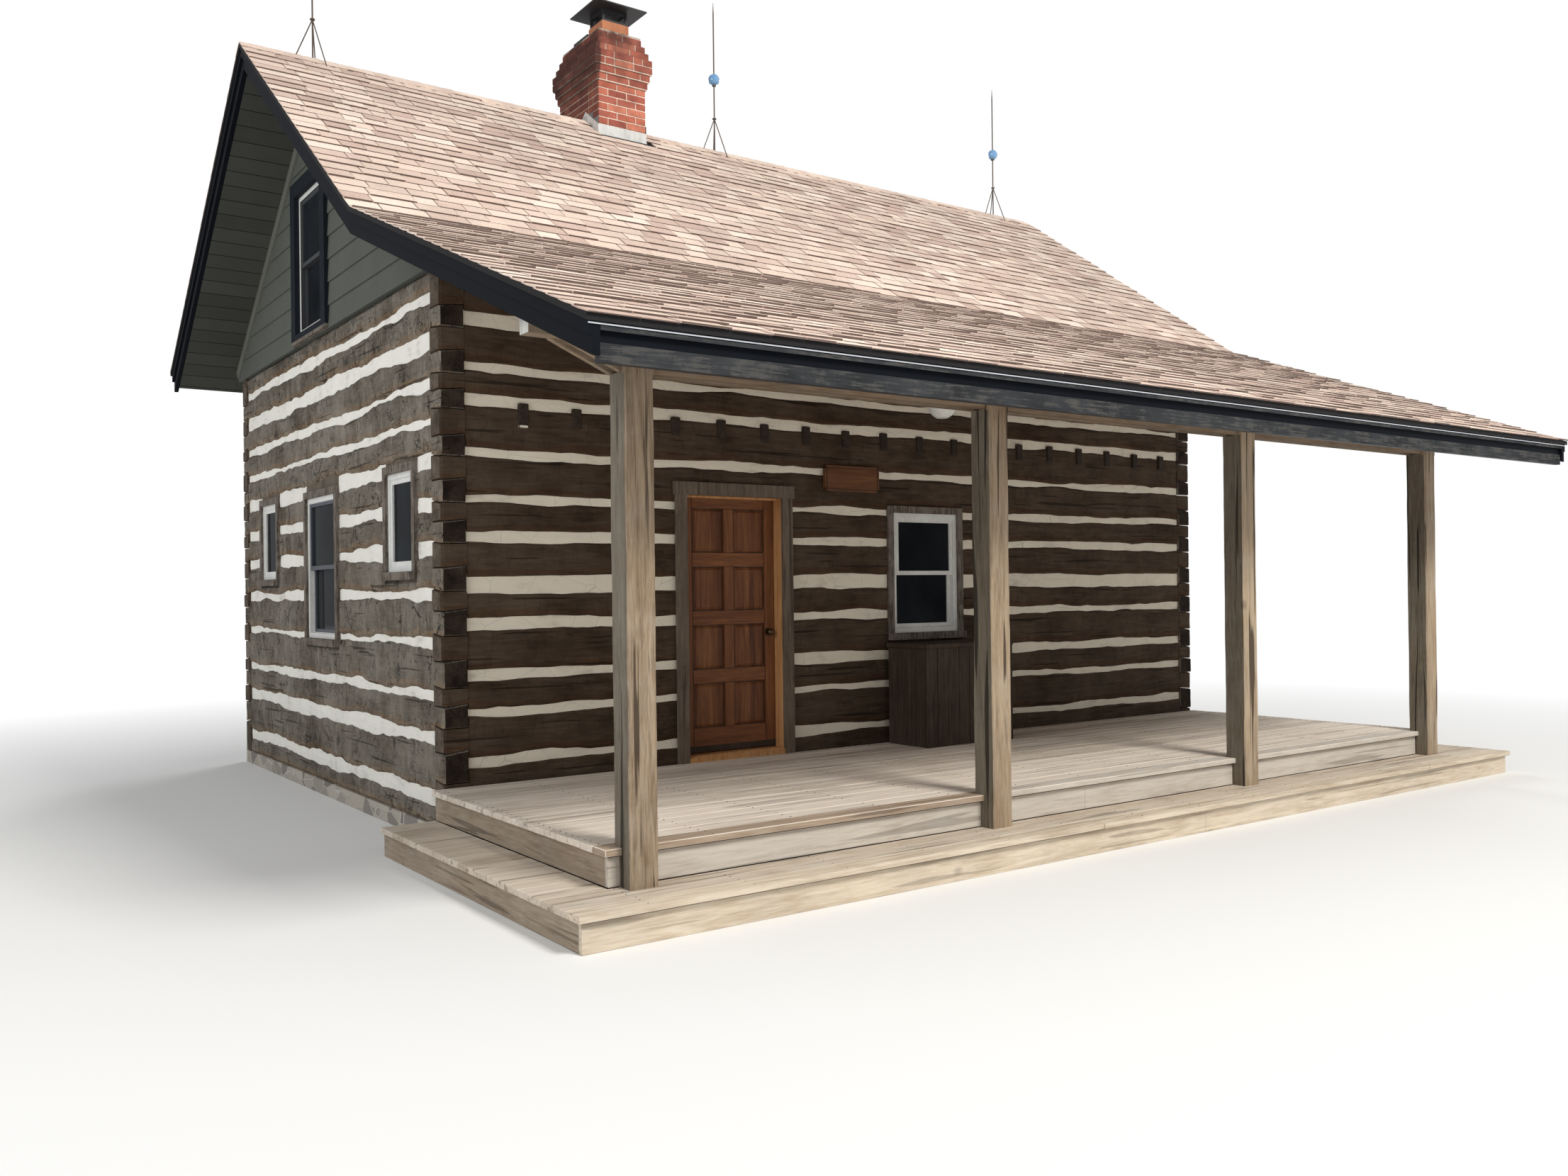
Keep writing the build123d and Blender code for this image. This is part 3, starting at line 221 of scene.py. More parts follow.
def timber(name, axis, dark, mid, light, weather=0.3, grey=(0.3, 0.28, 0.26), rough=0.75, board=None,
           depth=0.002, knots=0.5, checks=0.0, joint=0.0, under=None, shade_below_level=None):
    """Sawn or planed wood: long grain, knots, checks, weathered patches, and a tone for each board."""
    mat, place = material(name, rough, specular=0.25)
    long = along(place, axis, 14)
    fibre = long.noise(90, 5, 0.65, 0.6)
    bands = long.noise(16, 3, 0.55, 1.8)
    patches = place.noise(1.7, 4, 0.6)
    tone = bands * 0.5 + fibre * 0.35 + patches * 0.25
    if board:
        line, step = boards(place.axis("xyz".index(board[0])), board[1], max(joint, 0.0001))
        tone = tone + step * 0.22
    colour = tone.fit(0.34, 0.8).tones(dark, mid, light)
    knot = along(place, axis, 1.6).cells(2.3).fit(0.03, 0.075, knots, 0)
    colour = knot.tint(colour, dark, 0.4)
    worn = (place.noise(3.1, 6, 0.7) * 0.6 + fibre * 0.5).fit(0.48, 0.72, 0, weather)
    colour = worn.tint(colour, grey)
    height = fibre * 0.6 + bands * 0.4
    if checks:
        check = along(place, axis, 30).noise(24, 2, 0.4, 0.3).fit(0.35, 0.385, checks, 0)
        colour = check.tint(colour, dark, 0.3)
        height = height - check * 0.6
    if joint:
        colour = line.tint(colour, dark, 0.15)
        height = height - line
    # Painted shade: below this level the wood is darker, standing in for the shade under a beam.
    if shade_below_level:
        painted_shade = place.axis(2).fit(shade_below_level - 0.001, shade_below_level + 0.002, 0.8, 0)
        colour = painted_shade.tint(colour, dark, 0.4)
    if under:
        top = slab_depth(place, under).fit(0.024, 0.026, 1, 0)
        side = (place.axis(0) - (LENGTH / 2 + SHIFT.x)).one("ABSOLUTE").fit(RIM_X, RIM_X + 0.001)
        end = (place.axis(1) - RIM_Y).one("ABSOLUTE").fit(RIM_Y_HALF, RIM_Y_HALF + 0.001)
        colour = (top + side + end).lowest(1.0).tint(colour, (0.012, 0.011, 0.012))
    return dress(mat, colour, fibre * 0.3 + rough - 0.15, height, depth)


def hewn(name, axis, dark, mid, light, grey, weather, blows=0.5, marks=0.4, rugged=0.0):
    """Axe-hewn logs: facets with cut marks across the log, long checks, streaks and faded patches."""
    mat, place = material(name, 0.9, specular=0.15)
    long = along(place, axis, 10)
    streak = long.noise(24, 6, 0.7, 1.2)
    fine = long.noise(120, 4, 0.7)
    broad = place.noise(1.2, 5, 0.62)
    patch = along(place, axis, 1.8).noise(4.5, 5, 0.6)
    tall = along(place, "z", 3.4)
    facet = tall.facets(11)
    tone = (streak * (0.42 - 0.3 * rugged) + fine * 0.18 + broad * 0.28 + patch * 0.22
            + (facet - 0.5) * 0.1 * blows)
    if rugged:
        lump = place.noise(9, 5, 0.68, 0.6)
        chip = tall.noise(30, 4, 0.6, 0.4)
        tone = tone + lump * 0.22 * rugged + chip * 0.14 * rugged
    colour = tone.fit(0.4 + 0.03 * rugged, 0.76 - 0.05 * rugged).tones(dark, mid, light)
    faded = (broad * 0.5 + patch * 0.3 + streak * 0.3).fit(0.46, 0.64, 0, weather)
    colour = faded.tint(colour, grey)
    cut = tall.edges(11, 0.05) * place.noise(7, 3, 0.5).fit(0.45, 0.6, 0, marks)
    colour = cut.tint(colour, dark, 0.7)
    check = along(place, axis, 34).noise(36, 2, 0.4, 0.4).fit(0.3, 0.335, 0.7, 0)
    colour = check.tint(colour, dark, 0.5)
    height = streak * 0.3 + fine * 0.15 + facet * 0.35 * blows - cut * 0.35 - check * 0.7
    if rugged:
        bent = along(place, "z", 1.5)
        bent = bent.make("ShaderNodeVectorMath", {0: bent, 1: place.noise(6, 3, 0.6)}, operation="ADD")
        crack = bent.edges(3.6, 0.022) * place.noise(3.3, 3, 0.6).fit(0.44, 0.53, 0, 0.95 * rugged)
        colour = crack.tint(colour, dark, 0.25)
        height = height * 0.5 + lump * 1.3 + chip * 0.6 - crack
    return dress(mat, colour, streak * 0.15 + 0.78, height, 0.009 + 0.016 * rugged, 0.9)


def end_grain(name, dark, light):
    mat, place = material(name, 0.9, specular=0.15)
    blotch = place.noise(7, 5, 0.65)
    crack = place.edges(10, 0.03, 0.7) * place.noise(9, 2, 0.5).fit(0.5, 0.6)
    base = (blotch * 0.7 + place.noise(70, 3, 0.6) * 0.3).fit(0.35, 0.68).tones(dark, light)
    base = crack.tint(base, dark, 0.25)
    return dress(mat, base, None, blotch - crack, 0.006, 0.8)


def paint(name, colour, rough=0.55, worn=None, amount=0.0, axis="x", specular=0.3, spread=0.12, board=None,
          high=None):
    """Painted wood with faint unevenness, and bare weathered wood where the paint has gone."""
    mat, place = material(name, rough, specular=specular)
    soft = place.noise(3, 5, 0.6)
    fibre = along(place, axis, 16).noise(70, 5, 0.7)
    tone = soft * 0.7 + fibre * 0.3
    if board:
        line, step = boards(place.axis("xyz".index(board[0])), board[1], board[2])
        tone = tone + step * 0.5
    base = tone.fit(0.3, 0.7).tones(times(colour, 1 - spread), times(colour, 1 + spread))
    rough_out = soft * 0.1 + (rough - 0.05)
    if worn:
        bare = fibre * 0.7 + place.noise(9, 6, 0.7) * 0.5
        gone = bare.fit(0.62 - amount * 0.12, 0.7 - amount * 0.12)
        base = gone.tint(base, worn)
        rough_out = rough_out + gone * 0.2
    height = fibre
    if board:
        base = line.tint(base, colour, 0.12)
        height = fibre * 0.4 - line
    if high:
        level, upper = high
        base = place.axis(2).fit(level - 0.001, level + 0.001).tint(base, upper)
    return dress(mat, base, rough_out, height, 0.0012, 0.35)


def plain(name, colour, rough=0.5, metal=0.0, scale=30.0, depth=0.0005, coat=0.0, dirt=0.0, sashes=()):
    mat, place = material(name, rough, metal, coat, 0.4)
    soft = place.noise(scale, 4, 0.6)
    broad = place.noise(scale / 9, 3, 0.5)
    base = (soft * 0.5 + broad * 0.5).fit(0.3, 0.7).tones(times(colour, 0.84), times(colour, 1.12))
    if dirt:
        stain = (broad * 0.6 + place.scaled(1, 1, 0.2).noise(22, 5, 0.7) * 0.5).fit(0.5, 0.7, 0, dirt)
        base = stain.tint(base, colour, 0.35)
    for centre, half, low, high, tone in sashes:
        within = ((place.axis(1) - centre).one("ABSOLUTE").less(half) * place.axis(2).less(high)
                  * (low - place.axis(2)).less(0.0))
        base = within.tint(base, tone)
    return dress(mat, base, soft * 0.16 + (rough - 0.08), soft, depth, 0.4)


def shingle(name, colour):
    """Mineral granules with broad clouds of wear."""
    mat, place = material(name, 0.95, specular=0.1)
    speck = place.facets(240)
    cloud = place.noise(1.4, 5, 0.6)
    tone = speck * 0.4 + cloud * 0.6
    base = tone.fit(0.3, 0.7).tones(times(colour, 0.74), colour, times(colour, 1.22))
    return dress(mat, base, None, speck + cloud, 0.002, 0.5)


def mortar(name, colour, dark, cracks=0.5):
    """Trowelled mortar with stains, hair cracks and a grainy face."""
    mat, place = material(name, 0.92, specular=0.12)
    cloud = place.noise(2.2, 6, 0.65)
    grit = place.noise(160, 3, 0.7)
    trowel = place.scaled(0.3, 0.3, 1).noise(26, 3, 0.5)
    tone = cloud * 0.62 + grit * 0.1 + trowel * 0.28
    base = tone.fit(0.34, 0.62).tones(dark, colour, times(colour, 1.08), middle=0.4)
    crack = place.edges(2.6, 0.005, cracks)
    base = crack.tint(base, dark, 0.45)
    return dress(mat, base, None, trowel * 0.7 + grit * 0.2 - crack * 0.4, 0.004, 0.6)


def brick(name, colour):
    mat, place = material(name, 0.9, specular=0.15)
    pit = place.noise(75, 5, 0.7)
    cloud = place.noise(9, 4, 0.6)
    base = (pit * 0.4 + cloud * 0.6).fit(0.3, 0.7).tones(times(colour, 0.6), colour, times(colour, 1.4))
    return dress(mat, soot_and_dark_left(place, base), None, pit, 0.003, 0.7)


def soot_and_dark_left(place, base):
    """Soot that thickens towards the stack's top, and a darker left face."""
    left = (place.axis(0) - (STACK_X + SHIFT.x)).fit(0.0, 0.015, 0.62, 0)
    soot_plus_left_face = place.axis(2).fit(6.6, 7.2, 0, 0.9) * place.noise(4, 4, 0.6).fit(0.34, 0.58, 0.2, 1) + left
    return soot_plus_left_face.lowest(0.88).tint(base, (0.045, 0.024, 0.022))


def stone(name):
    mat, place = material(name, 0.9, specular=0.2)
    warped = place.scaled(1, 1, 1.7)
    base = warped.facets(4.2).fit(0.2, 0.8)
    base = base.tones((0.22, 0.2, 0.18), (0.36, 0.33, 0.29), (0.47, 0.43, 0.37))
    fine = place.noise(40, 5, 0.65)
    joint = warped.cells(4.2, feature="DISTANCE_TO_EDGE").fit(0.02, 0.045, 1, 0)
    base = joint.tint(base, (0.52, 0.49, 0.43))
    return dress(mat, base, None, fine * 0.3 - joint * 0.8, 0.012, 0.8)


def pane(name):
    mat, place = material(name, 0.05, specular=0.018)
    ripple = place.noise(2.2, 2, 0.4)
    base = place.noise(1.3, 3, 0.5).fit(0.3, 0.7)
    base = base.tones((0.006, 0.007, 0.009), (0.02, 0.024, 0.028))
    return dress(mat, base, None, ripple, 0.002, 0.12)


def ball_glass(name):
    mat, place = material(name, 0.08, coat=0.6)
    tone = place.noise(14, 3, 0.5)
    base = tone.fit(0.3, 0.7).tones((0.1, 0.26, 0.5), (0.22, 0.42, 0.66))
    return dress(mat, base, None, tone, 0.001, 0.2)


# The front and rear logs are darker than the gable logs partly because their tones were darkened as painted
# shade.
log_front = hewn("log_front", "x", (0.024, 0.015, 0.009), (0.066, 0.042, 0.026), (0.13, 0.088, 0.057),
                 (0.105, 0.082, 0.061), 0.45, 0.5, 0.3)
log_front_edge = hewn("log_front_edge", "x", (0.026, 0.014, 0.008), (0.07, 0.038, 0.02),
                      (0.14, 0.082, 0.044), (0.095, 0.069, 0.05), 0.3)
log_gable = hewn("log_gable", "y", (0.05, 0.041, 0.031), (0.145, 0.122, 0.095), (0.285, 0.25, 0.205),
                 (0.235, 0.216, 0.183), 0.5, 1.0, 0.6, 1.0)
log_gable_edge = hewn("log_gable_edge", "y", (0.075, 0.048, 0.028), (0.185, 0.125, 0.075),
                      (0.33, 0.245, 0.16), (0.25, 0.225, 0.19), 0.6, 1.0, 0.6, 1.0)
# The dark end grain sits on the front and rear faces, the pale on the gables; the dark is partly painted
# shade.
dark_ends = end_grain("log_end_dark", (0.01, 0.007, 0.006), (0.055, 0.038, 0.027))
pale_ends = end_grain("log_end_pale", (0.045, 0.034, 0.026), (0.17, 0.135, 0.1))
chink = mortar("chinking_mortar", (0.78, 0.72, 0.6), (0.57, 0.52, 0.42))
chink_white = mortar("chinking_gable", (0.8, 0.78, 0.72), (0.58, 0.56, 0.5), 0.25)
siding_paint = paint("siding_paint", (0.098, 0.105, 0.09), 0.75, axis="y", spread=0.1, specular=0.15)
frieze_paint = paint("frieze_paint", (0.14, 0.142, 0.122), 0.65, axis="y", spread=0.12, specular=0.15)
soffit_paint = paint("soffit_paint", (0.064, 0.067, 0.056), 0.75, board=("y", 0.132, 0.006), specular=0.12)
black_paint = paint("fascia_paint", (0.0036, 0.0052, 0.0085), 0.6, specular=0.08, spread=0.3)
# Worn black paint with bare wood, also used for the upper board's grey edge, which is a painted highlight.
fascia_wear_highlight = paint("fascia_wear_and_painted_highlight", (0.036, 0.038, 0.041), 0.85, (0.074, 0.073, 0.07), 0.2, specular=0.05,
                   spread=0.5)
ceiling = {slope: timber(f"{slope}_roof_boards", "x", (0.19, 0.1, 0.045), (0.36, 0.21, 0.1),
                         (0.5, 0.32, 0.17), 0.15, board=("y", 0.125), joint=0.006, under=slope)
           for slope in ("main", "porch")}
tan = timber("framing_wood", "y", (0.2, 0.105, 0.045), (0.37, 0.215, 0.1), (0.52, 0.33, 0.175), 0.15)
tan_x = timber("beam_wood", "x", (0.13, 0.08, 0.045), (0.26, 0.175, 0.1), (0.42, 0.3, 0.18), 0.5,
               (0.3, 0.265, 0.22))
# The porch beam is darker below the header: painted shade on its underside.
beam_wood = timber("porch_beam_wood", "x", (0.13, 0.085, 0.05), (0.27, 0.19, 0.12), (0.42, 0.31, 0.2), 0.5,
                   (0.31, 0.28, 0.24), shade_below_level=HEADER)
joist_wood = timber("joist_wood", "y", (0.012, 0.008, 0.006), (0.032, 0.021, 0.015), (0.07, 0.046, 0.032),
                    0.2, (0.07, 0.06, 0.05))
post_wood = timber("post_wood", "z", (0.17, 0.115, 0.07), (0.37, 0.275, 0.18), (0.54, 0.42, 0.295), 0.45,
                   (0.41, 0.365, 0.305), board=("x", 1.3), checks=0.9, depth=0.006)
# Greyer, darker wood for the posts' left faces: partly weathered wood, partly painted shade.
post_grey_and_shade = timber("post_wood_grey_and_shade", "z", (0.075, 0.06, 0.042), (0.165, 0.137, 0.1), (0.27, 0.23, 0.175),
                   0.6, (0.215, 0.2, 0.17), checks=0.9, depth=0.006)
deck_wood = timber("deck_wood", "x", (0.48, 0.4, 0.33), (0.71, 0.62, 0.52), (0.84, 0.765, 0.67), 0.45,
                   (0.7, 0.65, 0.59), board=("y", DECK_BOARD), checks=0.4)
step_wood = timber("step_wood", "x", (0.46, 0.36, 0.255), (0.7, 0.6, 0.465), (0.82, 0.745, 0.63), 0.35,
                   (0.68, 0.635, 0.56), board=("y", STEP_BOARD), checks=0.4)
riser_wood = timber("riser_wood", "x", (0.38, 0.325, 0.265), (0.58, 0.525, 0.455), (0.72, 0.67, 0.6), 0.45,
                    (0.6, 0.575, 0.53), checks=0.4, knots=0.8)
step_wood_grey = timber("step_wood_grey", "x", (0.36, 0.28, 0.205), (0.56, 0.475, 0.375), (0.7, 0.62, 0.52),
                        0.45, (0.58, 0.54, 0.48), board=("y", STEP_BOARD), checks=0.5)
side_wood = timber("side_board_wood", "y", (0.17, 0.125, 0.085), (0.32, 0.25, 0.18), (0.46, 0.385, 0.295),
                   0.45, (0.38, 0.35, 0.3), checks=0.5)
nosing_wood = timber("nosing_wood", "x", (0.24, 0.165, 0.11), (0.4, 0.3, 0.215), (0.53, 0.43, 0.33), 0.35,
                     (0.44, 0.39, 0.34), checks=0.5)
door_wood = timber("door_wood", "z", (0.07, 0.022, 0.008), (0.165, 0.06, 0.022), (0.28, 0.118, 0.045), 0.0,
                   rough=0.5, board=("x", 0.0505), joint=0.0012, depth=0.0008, knots=0.0)
rail_wood = timber("rail_wood", "z", (0.085, 0.028, 0.01), (0.195, 0.074, 0.027), (0.32, 0.138, 0.053), 0.0,
                   rough=0.5, depth=0.0008, knots=0.2)
rail_wood_x = timber("rail_wood_level", "x", (0.085, 0.028, 0.01), (0.2, 0.074, 0.026), (0.33, 0.14, 0.053),
                     0.0, rough=0.5, depth=0.0008, knots=0.2)
jamb_wood = timber("jamb_wood", "z", (0.33, 0.15, 0.055), (0.52, 0.27, 0.11), (0.66, 0.4, 0.2), 0.05,
                   knots=0.8)
trim_wood = timber("trim_wood", "z", (0.055, 0.041, 0.03), (0.135, 0.103, 0.075), (0.24, 0.19, 0.14), 0.6,
                   (0.19, 0.155, 0.12), checks=0.5)
casing_paint = paint("window_casing", (0.085, 0.067, 0.052), 0.75, (0.19, 0.165, 0.14), 0.6, "z",
                     specular=0.15, spread=0.4, high=(4.0, (0.01, 0.013, 0.018)))
box_wood = timber("box_wood", "z", (0.02, 0.013, 0.009), (0.05, 0.033, 0.022), (0.105, 0.073, 0.05), 0.3,
                  (0.11, 0.09, 0.075))
sign_wood = timber("sign_wood", "x", (0.066, 0.024, 0.009), (0.145, 0.058, 0.022), (0.25, 0.108, 0.042), 0.0,
                   rough=0.4, depth=0.0006, knots=0.2)
floor_wood = timber("floor_wood", "x", (0.2, 0.12, 0.06), (0.36, 0.24, 0.13), (0.48, 0.35, 0.22), 0.1,
                    board=("y", 0.14), joint=0.004)
white_frame = plain("window_white", (0.74, 0.74, 0.71), 0.5,
                    sashes=((2.9775 + SHIFT.y, 0.352, 4.09, 5.24, (0.045, 0.048, 0.052)),
                            (2.8865 + SHIFT.y, 0.39, 1.4, 2.535, (0.06, 0.068, 0.085))))
white_enamel = plain("white_enamel", (0.78, 0.78, 0.74), 0.3, coat=0.2)
plate_white = plain("plate_end_white", (0.66, 0.65, 0.6), 0.7, scale=18, dirt=0.7)
# A painted highlight: the gloss line along the black drip edge.
drip_highlight = plain("drip_edge_painted_highlight", (0.7, 0.73, 0.78), 0.25)
black_metal = plain("black_metal", (0.018, 0.018, 0.02), 0.5)
rod_metal = plain("rod_metal", (0.1, 0.075, 0.058), 0.6, 0.3)
bronze = plain("dark_bronze", (0.1, 0.062, 0.03), 0.4, 0.85)
flashing_paint = plain("flashing_paint", (0.62, 0.62, 0.6), 0.5, scale=14, dirt=0.5)
step_metal = plain("flashing_grey", (0.16, 0.165, 0.17), 0.5, 0.3)
clay = plain("flue_clay", (0.5, 0.2, 0.1), 0.85, scale=22, depth=0.002, dirt=0.4)
nail = plain("nail_head", (0.08, 0.06, 0.05), 0.6, 0.6)
foundation_stone = stone("foundation_stone")
glass_dark = pane("window_pane")
ball_blue = ball_glass("blue_ball_glass")
brick_mats = [brick(f"brick_{k}", c) for k, c in enumerate(
    ((0.39, 0.122, 0.08), (0.33, 0.1, 0.07), (0.48, 0.175, 0.115), (0.27, 0.082, 0.06),
     (0.43, 0.14, 0.092), (0.36, 0.115, 0.082)))]
brick_mortar = brick("brick_mortar", (0.66, 0.55, 0.45))
shingle_mats = [shingle(f"shingle_{k}", c) for k, c in enumerate(
    ((0.72, 0.575, 0.485), (0.63, 0.485, 0.41), (0.77, 0.635, 0.54), (0.56, 0.42, 0.355),
     (0.67, 0.53, 0.45), (0.8, 0.675, 0.58)))]
# Butt faces of the shingles: their dark cut edge, made darker as painted shade under each course.
shingle_butt_shade = plain("shingle_butt_shade", (0.14, 0.1, 0.085), 0.9)


# Mesh helpers: everything is made by mesh operators, and some points are then moved
def faces_of(points):
    return {f for v in points for f in v.link_faces}


def box(bm, low, high, mat=0, turn=None, centre=None):
    """A box between two corners, turned about its middle or about another centre."""
    low, high = Vector(low), Vector(high)
    middle = (low + high) / 2
    matrix = Matrix.Translation(middle) @ Matrix.Diagonal((*(high - low), 1))
    if turn:
        pivot = Matrix.Translation(centre or middle)
        matrix = pivot @ turn @ pivot.inverted() @ matrix
    made = bmesh.ops.create_cube(bm, size=1, matrix=matrix)["verts"]
    for f in faces_of(made):
        f.material_index = mat
    return made


def soften(bm, width, segments=1):
    bmesh.ops.bevel(bm, geom=list(bm.edges), offset=width, segments=segments, affect="EDGES",
                    clamp_overlap=True)


def link(name, data):
    made = bpy.data.objects.new(name, data)
    bpy.context.scene.collection.objects.link(made)
    return made


def to_piece(bm, name, mats):
    mesh = bpy.data.meshes.new(name)
    bm.to_mesh(mesh)
    bm.free()
    for mat in mats if isinstance(mats, list) else [mats]:
        mesh.materials.append(mat)
    return link(name, mesh)


def finish(bm, name, mats, slot, *replaces, body="house"):
    """Make the mesh a piece with its materials and body, in place of the CAD nodes named last. The slot is
    not used.
    """
    bmesh.ops.recalc_face_normals(bm, faces=list(bm.faces))
    bmesh.ops.translate(bm, verts=list(bm.verts), vec=SHIFT)
    piece = to_piece(bm, name, mats)
    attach(piece, body)
    if replaces:
        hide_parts(*replaces)


def sleeve(bm, stations, ring, put, mat, bands=()):
    """A closed bar: a grid that is wrapped round a ring of section points at each station.

    The strips in bands, each named by its first ring point, get the second material."""
    n, m = len(stations) - 1, len(ring)
    grid = bmesh.ops.create_grid(bm, x_segments=n, y_segments=m, size=1)["verts"]
    nx = len({round(v.co.x, 5) for v in grid}) - 1
    ny = len({round(v.co.y, 5) for v in grid}) - 1
    strip = {}
    for v in grid:
        i = round((v.co.x + 1) / 2 * nx)
        j = round((v.co.y + 1) / 2 * ny) % m
        strip[v] = j
        v.co = put(stations[min(i, n)], ring[j])
    bmesh.ops.remove_doubles(bm, verts=grid, dist=1e-6)
    alive = [v for v in grid if v.is_valid]
    rims = list({e for v in alive for e in v.link_edges if e.is_boundary})
    bmesh.ops.holes_fill(bm, edges=rims, sides=0)
    for f in faces_of(alive):
        f.material_index = mat
        places = {strip[v] for v in f.verts}
        if any(places == {j, (j + 1) % m} for j in bands):
            f.material_index = 1


# Logs: on each wall a place along it, a depth from its outer face, and a height
ON_WALL = {
    "front": lambda s, d, z: Vector((s, d, z)),
    "rear": lambda s, d, z: Vector((s, DEPTH - d, z)),
    "left": lambda s, d, z: Vector((d, s, z)),
    "right": lambda s, d, z: Vector((LENGTH - d, s, z)),
}
EDGE_LOW, EDGE_HIGH, EDGE_BAND = 0.14, 0.86, 0.3
RING = [(0, EDGE_LOW), (0, EDGE_BAND), (0, 0.5), (0, 0.7), (0, EDGE_HIGH), (0.1, 1), (0.5, 1), (0.9, 1),
        (1, EDGE_HIGH), (1, 0.5), (1, EDGE_LOW), (0.9, 0), (0.5, 0), (0.1, 0)]
LOWER_EDGE = (0, 12, 13)
SEAT_SLOPE, SEAT_GAP, EDGE, END_EASE = 0.12, 0.002, 0.024, 0.02
NOTCH = (0, END_EASE, 0.05, 0.11, WALL - 0.003, WALL + 0.003)
NOTCH_CLEAR = WALL + 0.06
FRONT_KEY, REAR_KEY, LEFT_KEY, RIGHT_KEY = 1, 31, 61, 91


def bumps(x, y, z):
    return noise.noise(Vector((x, y, z)))


def wave(s, key, size, pace=1.0):
    return size * (bumps(s * 1.1 * pace, key * 3.7, 1.3) + 0.55 * bumps(s * 3.3 * pace, key * 5.1, 7.7))


def edge_wave(s, key):
    """Hewn edges wander more on the gable walls."""
    size, lumpy = (0.034, 0.5) if key >= LEFT_KEY else (0.022, 0.2)
    lumps = bumps(s * 5.2, key * 1.9, 6.3) * lumpy
    return wave(s, key, size) + size * (lumps + 0.4 * bumps(s * 11, key * 2.3, 4.1))


def run_stations(a, b, step):
    n = max(1, round((b - a) / step))
    return [a + (b - a) * k / n for k in range(n + 1)]


def hewn_log(bm, side, key, s0, s1, low, high, total, ends=None, cap_low=None, cap_high=None):
    """One log from s0 to s1. ends gives the seats' heights where the log is notched at a corner."""
    place = ON_WALL[side]
    stations = run_stations(s0, s1, 0.07 if key >= LEFT_KEY else 0.1)
    notched = ends is not None
    if notched and s0 < 1e-6:
        stations = [*NOTCH] + [s for s in stations if s > NOTCH_CLEAR]
    if notched and s1 > total - 1e-6:
        stations = [s for s in stations if s < total - NOTCH_CLEAR] + [total - s for s in reversed(NOTCH)]

    def put(s, point):
        d, h = point
        inward = min(s, total - s)
        if notched and inward < WALL:
            depth = SEAT_GAP + d * (WALL - 2 * SEAT_GAP)
            bottom = ends[0] + (inward - WALL / 2) * SEAT_SLOPE + SEAT_GAP
            upper = ends[1] + (depth - WALL / 2) * SEAT_SLOPE - SEAT_GAP
            h_seat = min(max((h - EDGE_LOW) / (EDGE_HIGH - EDGE_LOW), 0), 1)
            end = max(0.0, 1 - inward / END_EASE)
            z = bottom + (upper - bottom) * h_seat + end * 0.009 * (0.5 - h_seat) * 2
            depth += end * 0.007 * (0.5 - d) * 2 + 0.004 * bumps(s * 9, key * 7.7, h * 4)
            out = 0.01 * bumps(key * 5.3, total, 2.2) - 0.004
            if inward < 0.06:
                s += out if s < total / 2 else -out
            return place(s, depth, z)
        calm = min(1.0, (inward - WALL) / 0.3 + 0.25) if notched else 1.0
        bottom = low + edge_wave(s, key) * (0 if cap_low is not None or low <= BASE + 1e-6 else calm)
        upper = high + edge_wave(s, key + 0.5) * (0 if cap_high is not None or high >= TOP - 1e-6 else calm)
        tall = max(upper - bottom, 0.05)
        if h == EDGE_LOW:
            h = EDGE / tall
        elif h == EDGE_HIGH:
            h = 1 - EDGE / tall
        elif h == EDGE_BAND:
            h = min(0.4, EDGE / tall + (0.03 + wave(s, key + 2, 0.02, 3)) / tall)
        face = 0.008 + wave(s, key + 9 + h, 0.008, 1.6)
        depth = face + d * (WALL - 2 * face)
        if 0.09 < d < 0.11 or 0.89 < d < 0.91:
            depth += wave(s, key + 4, 0.006, 2)
        return place(s, depth, bottom + (upper - bottom) * h)

    sleeve(bm, stations, RING, put, 0, LOWER_EDGE)


def split_runs(a, b, low, high, holes):
    """The parts of a course that are left beside, under and over the openings."""
    runs, cursor = [], a
    for x0, x1, z0, z1 in sorted(holes):
        if z1 <= low or z0 >= high or x1 <= a or x0 >= b:
            continue
        if x0 > cursor:
            runs.append((cursor, x0, low, high, None, None))
        if z0 - low > 0.02:
            runs.append((x0, x1, low, z0, None, z0))
        if high - z1 > 0.02:
            runs.append((x0, x1, z1, high, z1, None))
        cursor = x1
    if cursor < b:
        runs.append((cursor, b, low, high, None, None))
    return runs


def levels(courses, gaps, k):
    low = courses[k] + (gaps[k - 1] / 2 if k > 0 else 0)
    high = courses[k + 1] - (gaps[k] / 2 if k < len(gaps) else 0)
    return low, high


def end_caps(bm, axis, total):
    """The ends of the logs, which show on the other walls, get the third material: end grain."""
    bm.normal_update()
    for f in bm.faces:
        place = f.calc_center_median()[axis]
        if min(abs(place), abs(place - total)) < 0.03 and abs(f.normal[axis]) > 0.5:
            f.material_index = 2


TRIM, SILL = 0.06, 0.06
DOOR_HOLE = (1.915, 2.865, DECK, 2.491)


def window_hole(s, z, w, h):
    return (s - TRIM, s + w + TRIM, z + DECK - SILL, z + h + DECK + TRIM)


FRONT_HOLES = [DOOR_HOLE, window_hole(4.034, 0.938, 0.758, 1.044)]
REAR_HOLES = [window_hole(1.5, 0.938, 0.758, 1.044), window_hole(5.89, 0.938, 0.758, 1.044)]
SIDE_HOLES = [window_hole(0.565, 1.49, 0.57, 0.732), window_hole(2.454, 0.951, 0.865, 1.231),
              window_hole(4.358, 1.482, 0.566, 0.732)]


